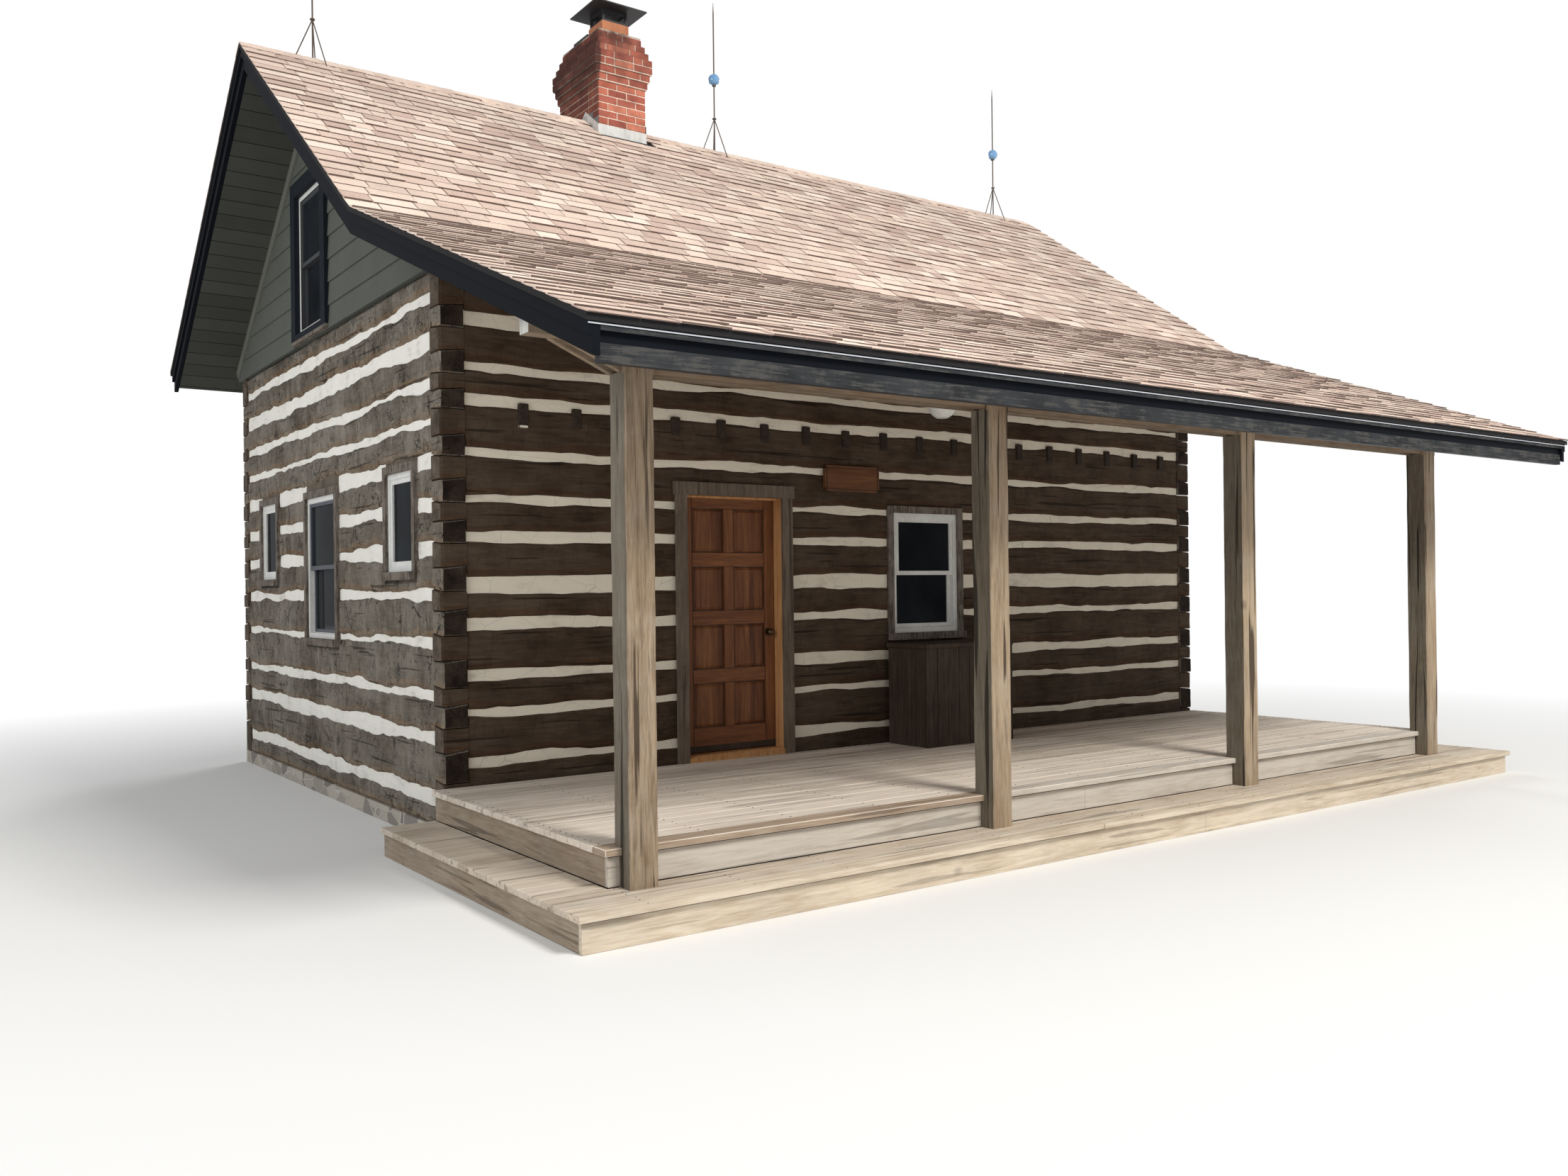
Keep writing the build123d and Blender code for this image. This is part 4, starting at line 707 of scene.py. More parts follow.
def long_wall(side, holes, key, name, *replaces):
    bm = bmesh.new()
    for k in range(len(FRONT) - 1):
        low, high = levels(FRONT, FRONT_GAPS, k)
        seat = GABLE[k + 1]
        end_low = BASE if k == 0 else (FRONT[k] + seat) / 2
        end_high = TOP if k + 2 == len(FRONT) else (seat + FRONT[k + 1]) / 2
        for s0, s1, a, b, cap_low, cap_high in split_runs(0, LENGTH, low, high, holes):
            hewn_log(bm, side, key + k, s0, s1, a, b, LENGTH, (end_low, end_high), cap_low, cap_high)
    end_caps(bm, 0, LENGTH)
    finish(bm, name, [log_front, log_front_edge, pale_ends], "log_wood", *replaces)


def side_wall(side, key, name, replaced):
    bm = bmesh.new()
    for k in range(len(GABLE) - 1):
        low, high = levels(GABLE, GABLE_GAPS, k)
        plain_end = k == 0 or k + 2 == len(GABLE)
        start, stop = (WALL, DEPTH - WALL) if plain_end else (0, DEPTH)
        ends = None
        if not plain_end:
            seat = FRONT[k]
            ends = ((GABLE[k] + seat) / 2, (seat + GABLE[k + 1]) / 2)
        for s0, s1, a, b, cap_low, cap_high in split_runs(start, stop, low, high, SIDE_HOLES):
            hewn_log(bm, side, key + k, s0, s1, a, b, DEPTH, ends, cap_low, cap_high)
    end_caps(bm, 1, DEPTH)
    finish(bm, name, [log_gable, log_gable_edge, dark_ends], "gable_log_wood", replaced)


long_wall("front", FRONT_HOLES, FRONT_KEY, "hewn_front_logs", "front_logs_left", "front_logs_right",
          "front_logs_top", "doorway_logs")
long_wall("rear", REAR_HOLES, REAR_KEY, "hewn_rear_logs", "rear_logs")
side_wall("left", LEFT_KEY, "hewn_left_logs", "left_logs")
side_wall("right", RIGHT_KEY, "hewn_right_logs", "right_logs")

# Chinking: trowelled strips set back between the logs
CHINK_RING = [(0, 0), (0, 0.25), (0, 0.5), (0, 0.75), (0, 1), (1, 1), (1, 0)]


def chinking(bm, side, key, centre, gap, total, holes, mat):
    place = ON_WALL[side]
    half = gap / 2 + 0.05
    runs = split_runs(WALL, total - WALL, centre - half, centre + half, holes)

    def put(s, point):
        d, h = point
        belly = 0.006 * math.sin(h * math.pi)
        face = 0.024 - belly + wave(s, key + h * 2, 0.003, 3)
        return place(s, face if d < 0.5 else WALL - face, centre - half + 2 * half * h)

    for s0, s1, _, _, cap_low, cap_high in runs:
        if cap_low is None and cap_high is None:
            sleeve(bm, run_stations(s0, s1, 0.2), CHINK_RING, put, mat)


bm = bmesh.new()
for k, gap in enumerate(FRONT_GAPS):
    chinking(bm, "front", 200 + k, FRONT[k + 1], gap, LENGTH, FRONT_HOLES, 0)
    chinking(bm, "rear", 230 + k, FRONT[k + 1], gap, LENGTH, REAR_HOLES, 0)
for k, gap in enumerate(GABLE_GAPS):
    chinking(bm, "left", 260 + k, GABLE[k + 1], gap, DEPTH, SIDE_HOLES, 1)
    chinking(bm, "right", 290 + k, GABLE[k + 1], gap, DEPTH, SIDE_HOLES, 1)
finish(bm, "trowelled_chinking", [chink, chink_white], "chinking", "wall_chinking")

# Head boards that close the gap between the side windows and the log above them
bm = bmesh.new()
for side in ("left", "right"):
    place = ON_WALL[side]
    for s0, s1, _, top in SIDE_HOLES:
        low, high = place(s0, 0.024, top - 0.001), place(s1, WALL - 0.024, 2.775)
        box(bm, [min(a, b) for a, b in zip(low, high)], [max(a, b) for a, b in zip(low, high)])
finish(bm, "window_head_boards", trim_wood, "trim_wood")


# Siding and frieze boards, made for the left gable and mirrored onto the right one
def cut_away(bm, place, normal):
    """Remove what lies past a plane, and close the cut."""
    geom = list(bm.verts) + list(bm.edges) + list(bm.faces)
    bmesh.ops.bisect_plane(bm, geom=geom, dist=1e-6, plane_co=place, plane_no=normal, clear_outer=True)
    bmesh.ops.holes_fill(bm, edges=[e for e in bm.edges if e.is_boundary], sides=0)


def finish_gable(bm, side, name, mat):
    if side == "right":
        bmesh.ops.scale(bm, vec=(-1, 1, 1), verts=list(bm.verts))
        bmesh.ops.translate(bm, vec=(LENGTH, 0, 0), verts=list(bm.verts))
    finish(bm, f"{side}_{name}", mat, "siding")


ROOF_TURN = math.atan(PITCH)
GABLE_FACE, SIDING_TOP = -0.02, 0.178
EXPOSURE, BUTT, HEAD, LAP = 0.192, 0.018, 0.005, 0.012
FRIEZE, FRIEZE_THICK = 0.1, 0.032
CASING = (2.455, 3.5, TOP, 5.41)
for side in ("left", "right"):
    bm = bmesh.new()
    z = TOP - 0.01
    while z < RIDGE_Z - 0.2:
        for s0, s1, low, high, _, _ in split_runs(0.0, DEPTH, z, z + EXPOSURE, [CASING]):
            ends = [s0, s1]
            if s1 - s0 > 2.4:
                ends.insert(1, s0 + (s1 - s0) * rng.uniform(0.35, 0.65))
            for a, b in zip(ends, ends[1:]):
                for v in box(bm, (GABLE_FACE - BUTT, a + 0.001, low), (GABLE_FACE, b - 0.001, high + LAP)):
                    if v.co.z > high and v.co.x < GABLE_FACE - 0.01:
                        v.co.x = GABLE_FACE - HEAD
        z += EXPOSURE
    for sign in (1, -1):
        normal = Vector((0, sign * PITCH, 1)).normalized()
        cut_away(bm, Vector((0, RIDGE_Y, RIDGE_Z)) - normal * SIDING_TOP, normal)
    finish_gable(bm, side, "gable_siding", siding_paint)

for side in ("left", "right"):
    bm = bmesh.new()
    half_length = DEPTH / 4 * math.hypot(1, PITCH)
    for sign in (1, -1):
        y = RIDGE_Y + sign * DEPTH / 4
        z = main_z(y, SIDING_TOP + FRIEZE / 2)
        box(bm, (GABLE_FACE - FRIEZE_THICK, y - half_length, z - FRIEZE / 2),
            (GABLE_FACE, y + half_length, z + FRIEZE / 2), turn=Matrix.Rotation(-sign * ROOF_TURN, 4, "X"))
    cut_away(bm, (0, 0, TOP), (0, 0, -1))
    finish_gable(bm, side, "frieze_boards", frieze_paint)

# Shingles on the three slopes, and caps on the ridge
SHINGLE_ROW, SHINGLE_LAP, SHINGLE_GAP = 0.14, 0.03, 0.008
SIDE_REACH = RAKE + 0.018


def lay_shingles(name, y_low, z_low, y_high, z_high, key, hole=None):
    """Rows of shingles that lean on the row below them, from the lower line of a slope to its upper line."""
    bm = bmesh.new()
    span = math.hypot(y_high - y_low, z_high - z_low)
    uphill = Vector((0, y_high - y_low, z_high - z_low)) / span
    up = Vector((0, -uphill.z, uphill.y))
    if up.z < 0:
        up.negate()
    side = Vector((1, 0, 0))
    x_high = LENGTH + SIDE_REACH
    picker = random.Random(key)
    for row in range(math.ceil(span / SHINGLE_ROW)):
        s = row * SHINGLE_ROW - 0.012
        length = min(SHINGLE_ROW + SHINGLE_LAP, span - s - 0.004)
        if length < 0.02:
            continue
        x = -SIDE_REACH
        while x < x_high - 1e-4:
            width = picker.uniform(0.15, 0.34)
            if x_high - (x + width) < 0.08:
                width = x_high - x
            thick = picker.choice((0.006, 0.0085, 0.011))
            middle = x + width / 2
            x += width
            centre = Vector((middle, y_low, z_low)) + uphill * (s + length / 2) + up * ((thick + 0.002) * 0.5)
            if hole and hole[0] < middle < hole[1] and hole[2] < centre.y < hole[3]:
                continue
            tilt = (uphill * length - up * (thick + 0.001)).normalized()
            normal = side.cross(tilt)
            if normal.z < 0:
                normal.negate()
            matrix = (Matrix.Translation(centre) @ Matrix((side, tilt, normal)).transposed().to_4x4() @
                      Matrix.Diagonal((width - SHINGLE_GAP, length, thick, 1)))
            made = bmesh.ops.create_cube(bm, size=1, matrix=matrix)["verts"]
            tone = picker.choices(range(6), weights=(6, 5, 4, 3, 5, 1))[0]
            for f in faces_of(made):
                f.normal_update()
                # The butt face gets the dark material: the cut edge, and painted shade under the course.
                f.material_index = 6 if f.normal.dot(tilt) < -0.9 else tone
    finish(bm, name, shingle_mats + [shingle_butt_shade], "shingle")


around_stack = (STACK_X - 0.02, STACK_X + STACK + 0.02, STACK_NEAR - 0.02, STACK_FAR + 0.02)
front_drip, rear_drip = EAVE_Y - 0.014, REAR_Y + 0.014
lay_shingles("front_shingles", KNEE_Y, KNEE_Z, RIDGE_Y, RIDGE_Z, 41, around_stack)
lay_shingles("porch_shingles", front_drip, porch_z(front_drip), KNEE_Y, KNEE_Z, 42)
lay_shingles("rear_shingles", rear_drip, main_z(rear_drip), RIDGE_Y, RIDGE_Z, 43, around_stack)

CAP_LONG, CAP_STEP, CAP_WIDE = 0.19, 0.15, 0.145
bm = bmesh.new()
x = -RAKE - 0.01
while x < LENGTH + RAKE - 0.1:
    if not STACK_X - CAP_LONG < x < STACK_X + STACK + 0.01:
        tone = rng.choice((0, 2, 4))
        for sign in (1, -1):
            near, far = sorted((RIDGE_Y, RIDGE_Y + sign * CAP_WIDE))
            made = box(bm, (x, near, RIDGE_Z + 0.002), (x + CAP_LONG, far, RIDGE_Z + 0.011), tone,
                       Matrix.Rotation(-sign * ROOF_TURN, 4, "X"), Vector((x, RIDGE_Y, RIDGE_Z + 0.006)))
            for v in made:
                if v.co.x > x + 0.1:
                    v.co.z += 0.005
    x += CAP_STEP
finish(bm, "ridge_shingles", shingle_mats, "shingle")

# Eave trim: black drip, a pale line that is a painted highlight along the drip, and the weathered lower edges
# of both boards; the upper board's grey edge is also a painted highlight
BOARD_LOW = 2.727
eave_top = porch_z(EAVE_Y)
bm = bmesh.new()
for inset, near, far, z0, z1, mat in ((0.0, -0.012, 0.0, eave_top - 0.036, eave_top - 0.003, 0),
                                      (0.0, -0.007, 0.0, eave_top - 0.048, eave_top - 0.042, 1),
                                      # Painted highlight: the grey strip along the upper board's lower edge.
                                      (0.06, -0.002, 0.0, eave_top - 0.072, eave_top - 0.052, 2),
                                      (0.06, 0.014, 0.0195, BOARD_LOW, 2.812, 2),
                                      (0.06, 0.0195, 0.056, BOARD_LOW, 2.7645, 0)):
    box(bm, (-RAKE + inset, EAVE_Y + near, z0), (LENGTH + RAKE - inset, EAVE_Y + far, z1), mat)
finish(bm, "eave_edges", [black_metal, drip_highlight, fascia_wear_highlight], "fascia")

# Joist ends that stand a little proud of the front logs, with mortar in the notch under the first one
ENDS, END_X, END_STEP, END_HALF = 18, 0.61, 0.4165, 0.037
bm = bmesh.new()
for k in range(ENDS):
    x = END_X + k * END_STEP
    out = rng.uniform(0.004, 0.016)
    low, high = 2.925 + rng.uniform(-0.004, 0.004), 3.062 + rng.uniform(-0.006, 0.008)
    box(bm, (x - END_HALF, -out, low), (x + END_HALF, 0.03, high))
box(bm, (0.574, -0.003, 2.889), (0.646, 0.03, 2.917), 1)
soften(bm, 0.006)
finish(bm, "joist_end_faces", [joist_wood, chink], "framing_wood")


# Porch deck and step boards
PLANK, STEP_TOP = 0.038, DECK - 0.206
DECK_Y, STEP_Y, HOUSE_Y = -2.51, -2.902, -0.002
STEP_LEFT, STEP_RIGHT = -0.443, LENGTH + 0.674
SKIRT_LEFT, SKIRT_RIGHT, SKIRT_Y = -0.064, LENGTH + 0.004, -2.48
PLANK_GAP, PLANK_END = 0.0035, 0.0015


def planks(bm, x0, x1, y0, y1, top, width, front=None):
    """Boards along x. front gives the joints of the first one, at the outer edge, which has its own woods."""
    count = max(1, round((y1 - y0) / width))
    step = (y1 - y0) / count
    for k in range(count):
        edge = front is not None and k == 0
        cuts = [x0, x1]
        if x1 - x0 > 5:
            cuts[1:1] = front if edge else [x0 + (x1 - x0) * rng.choice((0.33, 0.42, 0.5, 0.61, 0.68))]
        for a, b in zip(cuts, cuts[1:]):
            lift = rng.uniform(-0.0012, 0.0008)
            near, far = y0 + k * step + (PLANK_GAP if k else 0), y0 + (k + 1) * step - PLANK_GAP
            box(bm, (a + PLANK_END, near, top - PLANK + lift), (b - PLANK_END, far, top + lift),
                1 + (a > x0) if edge else 0)


bm = bmesh.new()
planks(bm, -0.094, LENGTH + 0.034, DECK_Y, HOUSE_Y, DECK, DECK_BOARD, [2.69, 5.36])
soften(bm, 0.004)
finish(bm, "deck_boards", [deck_wood, nosing_wood, riser_wood], "deck_wood", "porch_deck")

bm = bmesh.new()
planks(bm, STEP_LEFT, STEP_RIGHT, STEP_Y, SKIRT_Y, STEP_TOP, STEP_BOARD, [3.3, 7.4])
for x0, x1 in ((STEP_LEFT, SKIRT_LEFT), (SKIRT_RIGHT, STEP_RIGHT)):
    planks(bm, x0, x1, SKIRT_Y + 0.003, HOUSE_Y, STEP_TOP, STEP_BOARD)
soften(bm, 0.004)
finish(bm, "step_boards", [step_wood_grey, step_wood, step_wood], "deck_wood", "step_treads")

# Nails: a pair in each board, in lines across the deck and the step
NAIL, NAIL_LINES, NAIL_X, NAIL_STEP = 0.0042, 14, -0.045, 0.6256
NAIL_EDGE, NAIL_GAP = 0.03, 0.085
NAIL_BOARDS = ([(DECK_Y + NAIL_EDGE + k * 0.1475, DECK) for k in range(17)] +
               [(STEP_Y + NAIL_EDGE + k * 0.14, STEP_TOP) for k in range(3)])
bm = bmesh.new()
for k in range(NAIL_LINES):
    for y, z in NAIL_BOARDS:
        for gap in (0.0, NAIL_GAP):
            place = Vector((NAIL_X + k * NAIL_STEP + rng.uniform(-0.006, 0.006), y + gap, z + 0.0003))
            bmesh.ops.create_cone(bm, cap_ends=True, segments=6, radius1=NAIL, radius2=NAIL, depth=0.003,
                                  matrix=Matrix.Translation(place))
finish(bm, "board_nails", nail, "deck_wood")

# Skirt and riser boards, the joists behind them, and the shadow lines under the nosings
BOARD, JOISTS, JOIST_STEP = 0.03, 13, 0.587
LOW_LEFT, LOW_RIGHT, LOW_Y = -0.413, LENGTH + 0.644, -2.872
SKIRT_Z, LOW_Z = (0.198, 0.361), (0.0, 0.155)
JOIST_LOW = 0.223
bm = bmesh.new()
for left, joint, right, y, (z0, z1), mat in ((SKIRT_LEFT, 3.6, SKIRT_RIGHT, SKIRT_Y, SKIRT_Z, 0),
                                             (LOW_LEFT, 4.4, LOW_RIGHT, LOW_Y, LOW_Z, 1)):
    for a, b in ((left, joint), (joint, right)):
        box(bm, (a + 0.001, y, z0), (b - 0.001, y + BOARD, z1), mat)
    for x in (left, right - BOARD):
        box(bm, (x, y + BOARD + 0.001, z0), (x + BOARD, HOUSE_Y, z1), 2)
for k in range(1, JOISTS + 1):
    x = SKIRT_LEFT + k * JOIST_STEP
    box(bm, (x, SKIRT_Y + BOARD + 0.001, JOIST_LOW), (x + PLANK, -0.04, SKIRT_Z[1]), 2)
box(bm, (-0.033, -0.038, JOIST_LOW), (LENGTH - 0.027, -0.001, SKIRT_Z[1]), 0)
for x in (-0.2685, LENGTH + 0.354):
    box(bm, (x, LOW_Y + BOARD + 0.001, LOW_Z[0]), (x + PLANK, HOUSE_Y, LOW_Z[1]), 2)
for left, right, near, far, z0, z1, mat in ((SKIRT_LEFT, SKIRT_RIGHT, -2.511, -2.482, 0.0, 0.155, 0),
                                            (SKIRT_LEFT, SKIRT_RIGHT, -2.479, -2.45, 0.0, 0.15, 3),
                                            (SKIRT_LEFT, SKIRT_RIGHT, -2.4802, -2.478, 0.352, 0.3618, 3),
                                            (LOW_LEFT, LOW_RIGHT, -2.8722, -2.87, 0.146, 0.1558, 3)):
    box(bm, (left, near, z0), (right, far, z1), mat)
soften(bm, 0.003)
finish(bm, "skirt_boards", [riser_wood, step_wood, side_wood, joist_wood], "deck_wood", "deck_frame")

# Posts with eased, slightly wavy corners, and left faces in a greyer, darker wood that is partly weathering
# and partly painted shade
POST, POST_Y = 0.169, -2.597
POST_RING = [(0.04, 0), (0.96, 0), (1, 0.04), (1, 0.96), (0.96, 1), (0.04, 1), (0, 0.96), (0, 0.04)]
bm = bmesh.new()
for k, x in enumerate((0.0, 2.605, 5.275, 7.975)):
    def put(s, point, x=x, k=k):
        corner = k * 4 + (point[0] > 0.5) * 2 + (point[1] > 0.5)
        return Vector((x + 0.003 + wave(s, 300 + corner, 0.0035, 2.2) + point[0] * POST,
                       POST_Y + wave(s, 320 + corner, 0.0035, 2.2) + point[1] * POST, s))

    # Band 6 is each post's left face, which gets the greyer wood: weathering and painted shade.
    sleeve(bm, run_stations(STEP_TOP, HEADER, 0.09), POST_RING, put, 0, (6,))
    box(bm, (x + 0.002, POST_Y - 0.001, HEADER - 0.01), (x + 0.173, POST_Y + 0.03, HEADER + 0.15))
finish(bm, "timber_posts", [post_wood, post_grey_and_shade], "post_wood", "porch_posts")

# White painted end of the porch plate on both sides
bm = bmesh.new()
for x in (-0.502, LENGTH + 0.5):
    box(bm, (x, -2.546, 3.011), (x + 0.002, -2.446, 3.109))
finish(bm, "plate_end_paint", plate_white, "post_wood")

# Panelled door leaf: stiles, rails and mullions, with raised panels in recesses painted dark as shade
LEAF_X, LEAF_Y, LEAF_Z = (1.947, 2.833), (0.096, 0.14), (0.458, 2.459)
STILE, MULLION, TOP_RAIL, LOW_RAIL, RAIL = 0.1, 0.092, 0.084, 0.19, 0.11
RECESS, PANEL_EDGE, GAP = 0.013, 0.009, 0.0012
(x0, x1), (y0, y1), (z0, z1) = LEAF_X, LEAF_Y, LEAF_Z
width = (x1 - x0 - 2 * STILE - MULLION) / 2
height = (z1 - z0 - TOP_RAIL - LOW_RAIL - 3 * RAIL) / 4
panel_low = [z0 + LOW_RAIL + k * (height + RAIL) for k in range(4)]
panel_left = [x0 + STILE + k * (width + MULLION) for k in range(2)]
bm = bmesh.new()
for x in (x0, x1 - STILE):
    box(bm, (x, y0, z0), (x + STILE, y1, z1), 1)
for low, high in ([(z0, z0 + LOW_RAIL)] + [(z + height, z + height + RAIL) for z in panel_low[:3]] +
                  [(z1 - TOP_RAIL, z1)]):
    box(bm, (x0 + STILE + GAP, y0, low), (x1 - STILE - GAP, y1, high), 2)
for z in panel_low:
    x = x0 + STILE + width
    box(bm, (x, y0, z + GAP), (x + MULLION, y1, z + height - GAP), 1)
    for x in panel_left:
        # The recess boxes take the dark wood: painted shade in the grooves round the raised panels.
        box(bm, (x, y0 + RECESS, z), (x + width, y1 - RECESS, z + height), 3)
soften(bm, 0.0035, 2)
for z in panel_low:
    for x in panel_left:
        made = box(bm, (x + PANEL_EDGE, y0 + 0.001, z + PANEL_EDGE),
                   (x + width - PANEL_EDGE, y1 - 0.001, z + height - PANEL_EDGE))
        for sign in (-1, 1):
            face = [f for f in faces_of(made) if f.is_valid and f.normal.y * sign > 0.9]
            inner = bmesh.ops.inset_region(bm, faces=face, thickness=0.026, depth=0.0)
            rim = {v for f in inner["faces"] for v in f.verts} - {v for f in face for v in f.verts}
            for v in rim:
                v.co.y -= sign * 0.011
box(bm, (x0 + 0.004, y0 - 0.003, z0 + 0.004), (x1 - 0.004, y0, z0 + 0.05), 3)
finish(bm, "panelled_door", [door_wood, rail_wood, rail_wood_x, box_wood], "door_wood", "door_leaf",
       body="door")

# Chimney of bricks over a mortar core
BRICK, BRICK_DEEP, MORTAR = 0.202, 0.102, 0.01
COURSE, STACK_TOP, BRICKS_LOW, CORE = 0.0714, 7.19, 5.8, 6
stack_x, stack_y = STACK_X + STACK / 2, (STACK_NEAR + STACK_FAR) / 2


def around(bm, x, y, half_x, half_y, z0, z1, mat=0):
    """A box about a point of the plan."""
    box(bm, (x - half_x, y - half_y, z0), (x + half_x, y + half_y, z1), mat)


def brick_row(length):
    parts, cursor = [], 0.0
    while cursor < length - 0.02:
        size = min(BRICK, length - cursor)
        if 0 < length - cursor - size - MORTAR < 0.06:
            size = length - cursor
        parts.append((cursor, cursor + size))
        cursor += size + MORTAR
    return parts


def brick_course(bm, wide, deep, z, odd):
    """One course: the four faces' rows run round the stack, so each row ends against the next."""
    x0, x1 = stack_x - wide / 2, stack_x + wide / 2
    y0, y1 = stack_y - deep / 2, stack_y + deep / 2
    top = z + COURSE - MORTAR
    for a, b in brick_row(wide - BRICK_DEEP - MORTAR):
        for y, flip in ((y0, odd), (y1 - BRICK_DEEP, not odd)):
            low, high = (x1 - b, x1 - a) if flip else (x0 + a, x0 + b)
            y += rng.uniform(-0.0015, 0.0015)
            box(bm, (low, y, z), (high, y + BRICK_DEEP, top), rng.randrange(6))
    for a, b in brick_row(deep - BRICK_DEEP - MORTAR):
        for x, flip in ((x0, not odd), (x1 - BRICK_DEEP, odd)):
            low, high = (y1 - b, y1 - a) if flip else (y0 + a, y0 + b)
            x += rng.uniform(-0.0015, 0.0015)
            box(bm, (x, low, z), (x + BRICK_DEEP, high, top), rng.randrange(6))


corbel_low = STACK_TOP - 7 * COURSE
courses = []
z = corbel_low
while z > BRICKS_LOW:
    z -= COURSE
    courses.insert(0, (z, 0.0))
courses += [(corbel_low + k * COURSE, 0.036 * (k + 1)) for k in range(3)]
courses += [(corbel_low + (3 + k) * COURSE, 0.108 - 0.052 * k) for k in range(4)]
bm = bmesh.new()
for k, (z, more) in enumerate(courses):
    brick_course(bm, STACK + more, STACK_DEEP + more, z, k % 2 == 1)
soften(bm, 0.003)
for z, more in courses:
    around(bm, stack_x, stack_y, (STACK + more) / 2 - 0.005, (STACK_DEEP + more) / 2 - 0.005, z - MORTAR,
           z + COURSE - MORTAR, CORE)
around(bm, stack_x, RIDGE_Y, STACK / 2, STACK / 2, 0, courses[0][0] - MORTAR, CORE)
around(bm, stack_x, stack_y, STACK / 2 - 0.03, STACK_DEEP / 2 - 0.03, STACK_TOP - 0.012, STACK_TOP + 0.01,
       CORE)
finish(bm, "brick_chimney", brick_mats + [brick_mortar], "brick", "chimney")

# Rear flue under a flat lid with a turned-down rim
FLUE_Y, FLUE_TOP, LID = STACK_FAR - STACK / 2, 7.28, 0.15
bm = bmesh.new()
around(bm, stack_x, FLUE_Y, 0.145, 0.145, STACK_TOP, FLUE_TOP)
soften(bm, 0.006)
finish(bm, "rear_flue", clay, "clay")
bm = bmesh.new()
around(bm, stack_x, FLUE_Y, LID, LID, FLUE_TOP, FLUE_TOP + 0.02)
for side in (-0.146, 0.146):
    around(bm, stack_x + side, FLUE_Y, 0.004, LID, FLUE_TOP - 0.035, FLUE_TOP)
    around(bm, stack_x, FLUE_Y + side, 0.142, 0.004, FLUE_TOP - 0.035, FLUE_TOP)
finish(bm, "rear_flue_lid", black_metal, "black_metal")

# Stepped flashing up both sides of the stack, let into the brick joints
FLASHING_STEP = 0.112
bm = bmesh.new()
for x in (STACK_X - 0.006, STACK_X + STACK + 0.002):
    y = STACK_NEAR - 0.004
    while y < STACK_FAR - 0.02:
        stop = min(y + FLASHING_STEP, STACK_FAR + 0.004)
        under, over = sorted((main_z(y), main_z(stop)))
        high = math.ceil((over + 0.075 - STACK_TOP) / COURSE) * COURSE + STACK_TOP - 0.006
        box(bm, (x, y, under - 0.01), (x + 0.004, stop - 0.001, high))
        box(bm, (x - 0.006, y, under - 0.01), (x + 0.01, stop - 0.001, under + 0.01), 1)
        y += FLASHING_STEP
z = main_z(STACK_FAR)
box(bm, (STACK_X - 0.012, STACK_FAR, z - 0.01), (STACK_X + STACK + 0.012, STACK_FAR + 0.005, z + 0.11))
finish(bm, "stepped_flashing", [step_metal, flashing_paint], "flashing")

# Wire mesh in the chimney cap
MESH, MESH_LOW, WIRE = 0.127, 7.35, 0.001
bm = bmesh.new()
for side in (-MESH, MESH):
    for k in range(-5, 6):
        around(bm, stack_x + k * 0.021, RIDGE_Y + side, WIRE, WIRE, MESH_LOW, MESH_LOW + 0.08)
        around(bm, stack_x + side, RIDGE_Y + k * 0.021, WIRE, WIRE, MESH_LOW, MESH_LOW + 0.08)
    for k in range(4):
        z = MESH_LOW + 0.012 + k * 0.018
        around(bm, stack_x, RIDGE_Y + side, MESH, WIRE, z, z + 2 * WIRE)
        around(bm, stack_x + side, RIDGE_Y, WIRE, MESH, z, z + 2 * WIRE)
finish(bm, "cap_wire_mesh", black_metal, "black_metal")

# Boarded box under the front window, with a lid in two parts
x0, x1, y0, y1, z0, z1 = 3.92, 4.9, -0.536, -0.048, DECK + 0.002, DECK + 0.822
THICK, LID_EDGE, SLIT = 0.022, 0.018, 0.002
bm = bmesh.new()
width = (x1 - x0) / 8
for k in range(8):
    box(bm, (x0 + k * width + SLIT, y0, z0), (x0 + (k + 1) * width - SLIT, y0 + THICK, z1))
width = (y1 - y0 - THICK) / 4
for x in (x0, x1 - THICK):
    for k in range(4):
        y = y0 + THICK + k * width
        box(bm, (x, y + SLIT, z0), (x + THICK, y + width - SLIT, z1))
box(bm, (x0 + THICK, y1 - 0.02, z0), (x1 - THICK, y1, z1))
for x in (x0 - 0.012, x1 - 0.078):
    box(bm, (x, y0 - 0.014, z0), (x + 0.09, y0, z1))
middle = (y0 - LID_EDGE + y1) / 2
for near, far in ((y0 - LID_EDGE, middle - SLIT), (middle + SLIT, y1)):
    box(bm, (x0 - LID_EDGE, near, z1), (x1 + LID_EDGE, far, z1 + 0.038))
soften(bm, 0.003)
finish(bm, "boarded_box", box_wood, "box_wood", "wood_box")

# Thin dark border on the bare sign
x0, x1, z0, z1, y = 3.291, 3.842, 2.56, 2.742, -0.03
LINE = 0.005
bm = bmesh.new()
for z in (z0, z1 - LINE):
    box(bm, (x0, y - 0.004, z), (x1, y, z + LINE))
for x in (x0, x1 - LINE):
    box(bm, (x, y - 0.004, z0 + LINE), (x + LINE, y, z1 - LINE))
finish(bm, "sign_border", box_wood, "sign_wood")

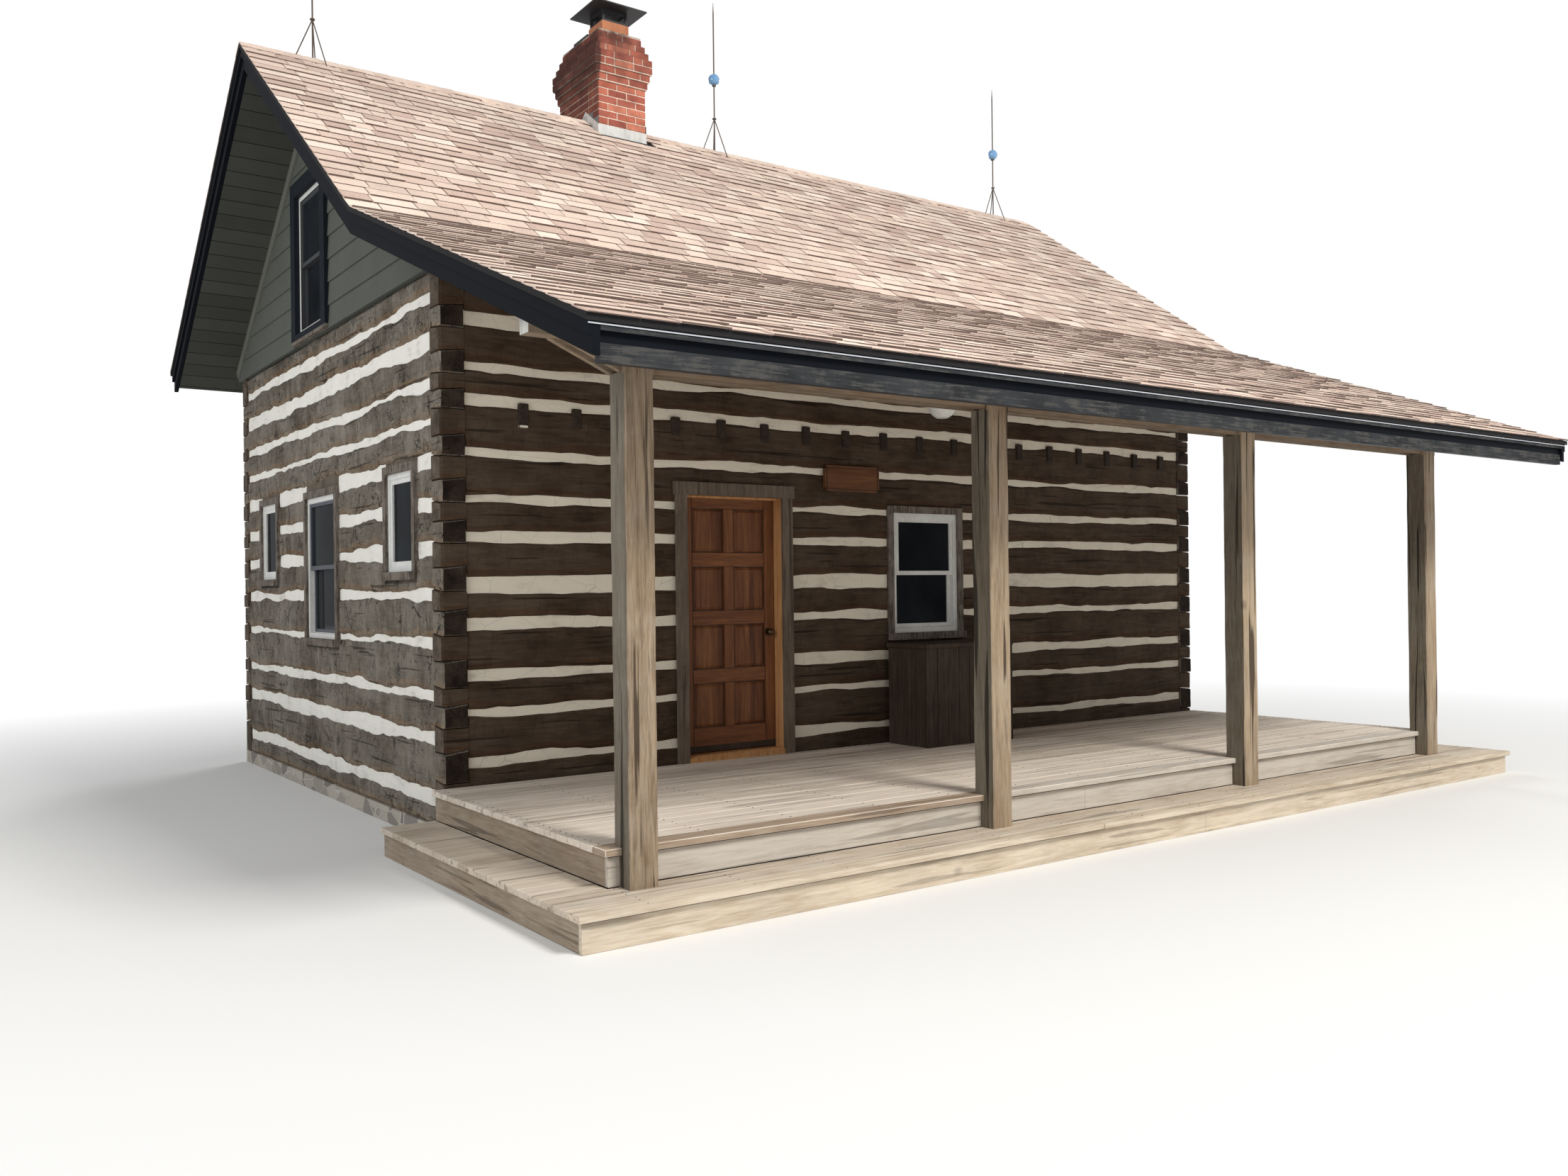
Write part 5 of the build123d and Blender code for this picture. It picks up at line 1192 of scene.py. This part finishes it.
# CAD nodes that stay, with their finishes
CARRIED = {
    foundation_stone: ("foundation",), floor_wood: ("main_floor", "loft_floor"), joist_wood: ("loft_joists",),
    tan_x: ("wall_plates", "ridge_board"), tan: ("main_rafters", "porch_rafters"), beam_wood: ("porch_beam",),
    siding_paint: ("gable_walls",), soffit_paint: ("soffits",), black_paint: ("rake_boards", "eave_fascias"),
    ceiling["main"]: ("front_roof", "rear_roof"), ceiling["porch"]: ("porch_roof",),
    jamb_wood: ("door_frame",), trim_wood: ("door_casing",), bronze: ("door_fittings", "hinge_pins"),
    casing_paint: ("window_trims",),
    white_frame: ("window_frames",), glass_dark: ("window_glass",), clay: ("chimney_flue",),
    black_metal: ("chimney_cap",), flashing_paint: ("chimney_flashing",), rod_metal: ("lightning_rods",),
    ball_blue: ("rod_balls",), sign_wood: ("sign_board",), white_enamel: ("lamp_stem", "lamp_shade"),
}
for mat, names in CARRIED.items():
    for name in names:
        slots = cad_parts[name].data.materials
        for k in range(len(slots)):
            slots[k] = mat
        if not slots:
            slots.append(mat)

# Camera at the photograph's viewing angle
YAW, PITCH_UP, ROLL = math.radians(35.743), math.radians(0.061), math.radians(-0.684)
forward = Vector((math.sin(YAW) * math.cos(PITCH_UP), math.cos(YAW) * math.cos(PITCH_UP), math.sin(PITCH_UP)))
level = Vector((math.cos(YAW), -math.sin(YAW), 0))
upright = level.cross(forward)
right = level * math.cos(ROLL) + upright * math.sin(ROLL)
top = upright * math.cos(ROLL) - level * math.sin(ROLL)
eye = Vector((-3.1 + SHIFT.x, -8.284 + SHIFT.y, 1.329 + DECK))
camera_data = bpy.data.cameras.new("camera")
camera_data.sensor_width = 36
camera_data.lens = 28.84
camera = link("camera", camera_data)
camera.matrix_world = Matrix.Translation(eye) @ Matrix((right, top, -forward)).transposed().to_4x4()
bpy.context.scene.camera = camera

# Floor, sky and lights
floor_mat, floor_place = material("floor_pale", 0.95, specular=0.0)
tree = floor_mat.node_tree
floor_body = tree.nodes["Principled BSDF"]
floor_body.inputs["Base Color"].default_value = (0.83, 0.83, 0.82, 1)
far = floor_place.make("ShaderNodeVectorMath", {0: floor_place}, output=1, operation="LENGTH").fit(6.5, 13)
glow = floor_place.make("ShaderNodeEmission", {"Color": (1, 1, 1, 1), "Strength": 1.0})
fade = floor_place.make("ShaderNodeMixShader", {0: far})
tree.links.new(floor_body.outputs[0], fade.out.node.inputs[1])
tree.links.new(glow.out, fade.out.node.inputs[2])
tree.links.new(fade.out, tree.nodes["Material Output"].inputs["Surface"])
bm = bmesh.new()
bmesh.ops.create_grid(bm, x_segments=1, y_segments=1, size=60)
floor = to_piece(bm, "floor", floor_mat)
floor.location = (0, 0, -0.001)

world = bpy.data.worlds.new("world")
bpy.context.scene.world = world
world.use_nodes = True
tree = world.node_tree
back = tree.nodes["Background"]
back.inputs["Color"].default_value = (0.98, 0.99, 1.0, 1)
back.inputs["Strength"].default_value = 0.5
seen = Shade(tree, tree.nodes.new("ShaderNodeLightPath").outputs["Is Camera Ray"])
white = seen.make("ShaderNodeBackground", {"Color": (1, 1, 1, 1), "Strength": 1.0})
sky = seen.make("ShaderNodeMixShader", {0: seen, 1: Shade(tree, back.outputs[0]), 2: white})
tree.links.new(sky.out, tree.nodes["World Output"].inputs["Surface"])


LAMP_TARGET = Vector((0, 0, 2))


def area(name, place, size, power, colour):
    data = bpy.data.lights.new(name, "AREA")
    data.shape = "SQUARE"
    data.size = size
    data.energy = power
    data.color = colour
    lamp = link(name, data)
    lamp.location = place
    lamp.rotation_euler = (LAMP_TARGET - Vector(place)).to_track_quat("-Z", "Y").to_euler()


area("key_light", (0, -16, 15), 5, 2900, (1.0, 0.97, 0.92))
area("side_light", (-15, -5, 8), 7, 520, (0.97, 0.98, 1.0))
area("back_light", (9, 15, 10), 7, 1100, (0.98, 0.99, 1.0))
bpy.context.scene.view_settings.view_transform = "Standard"
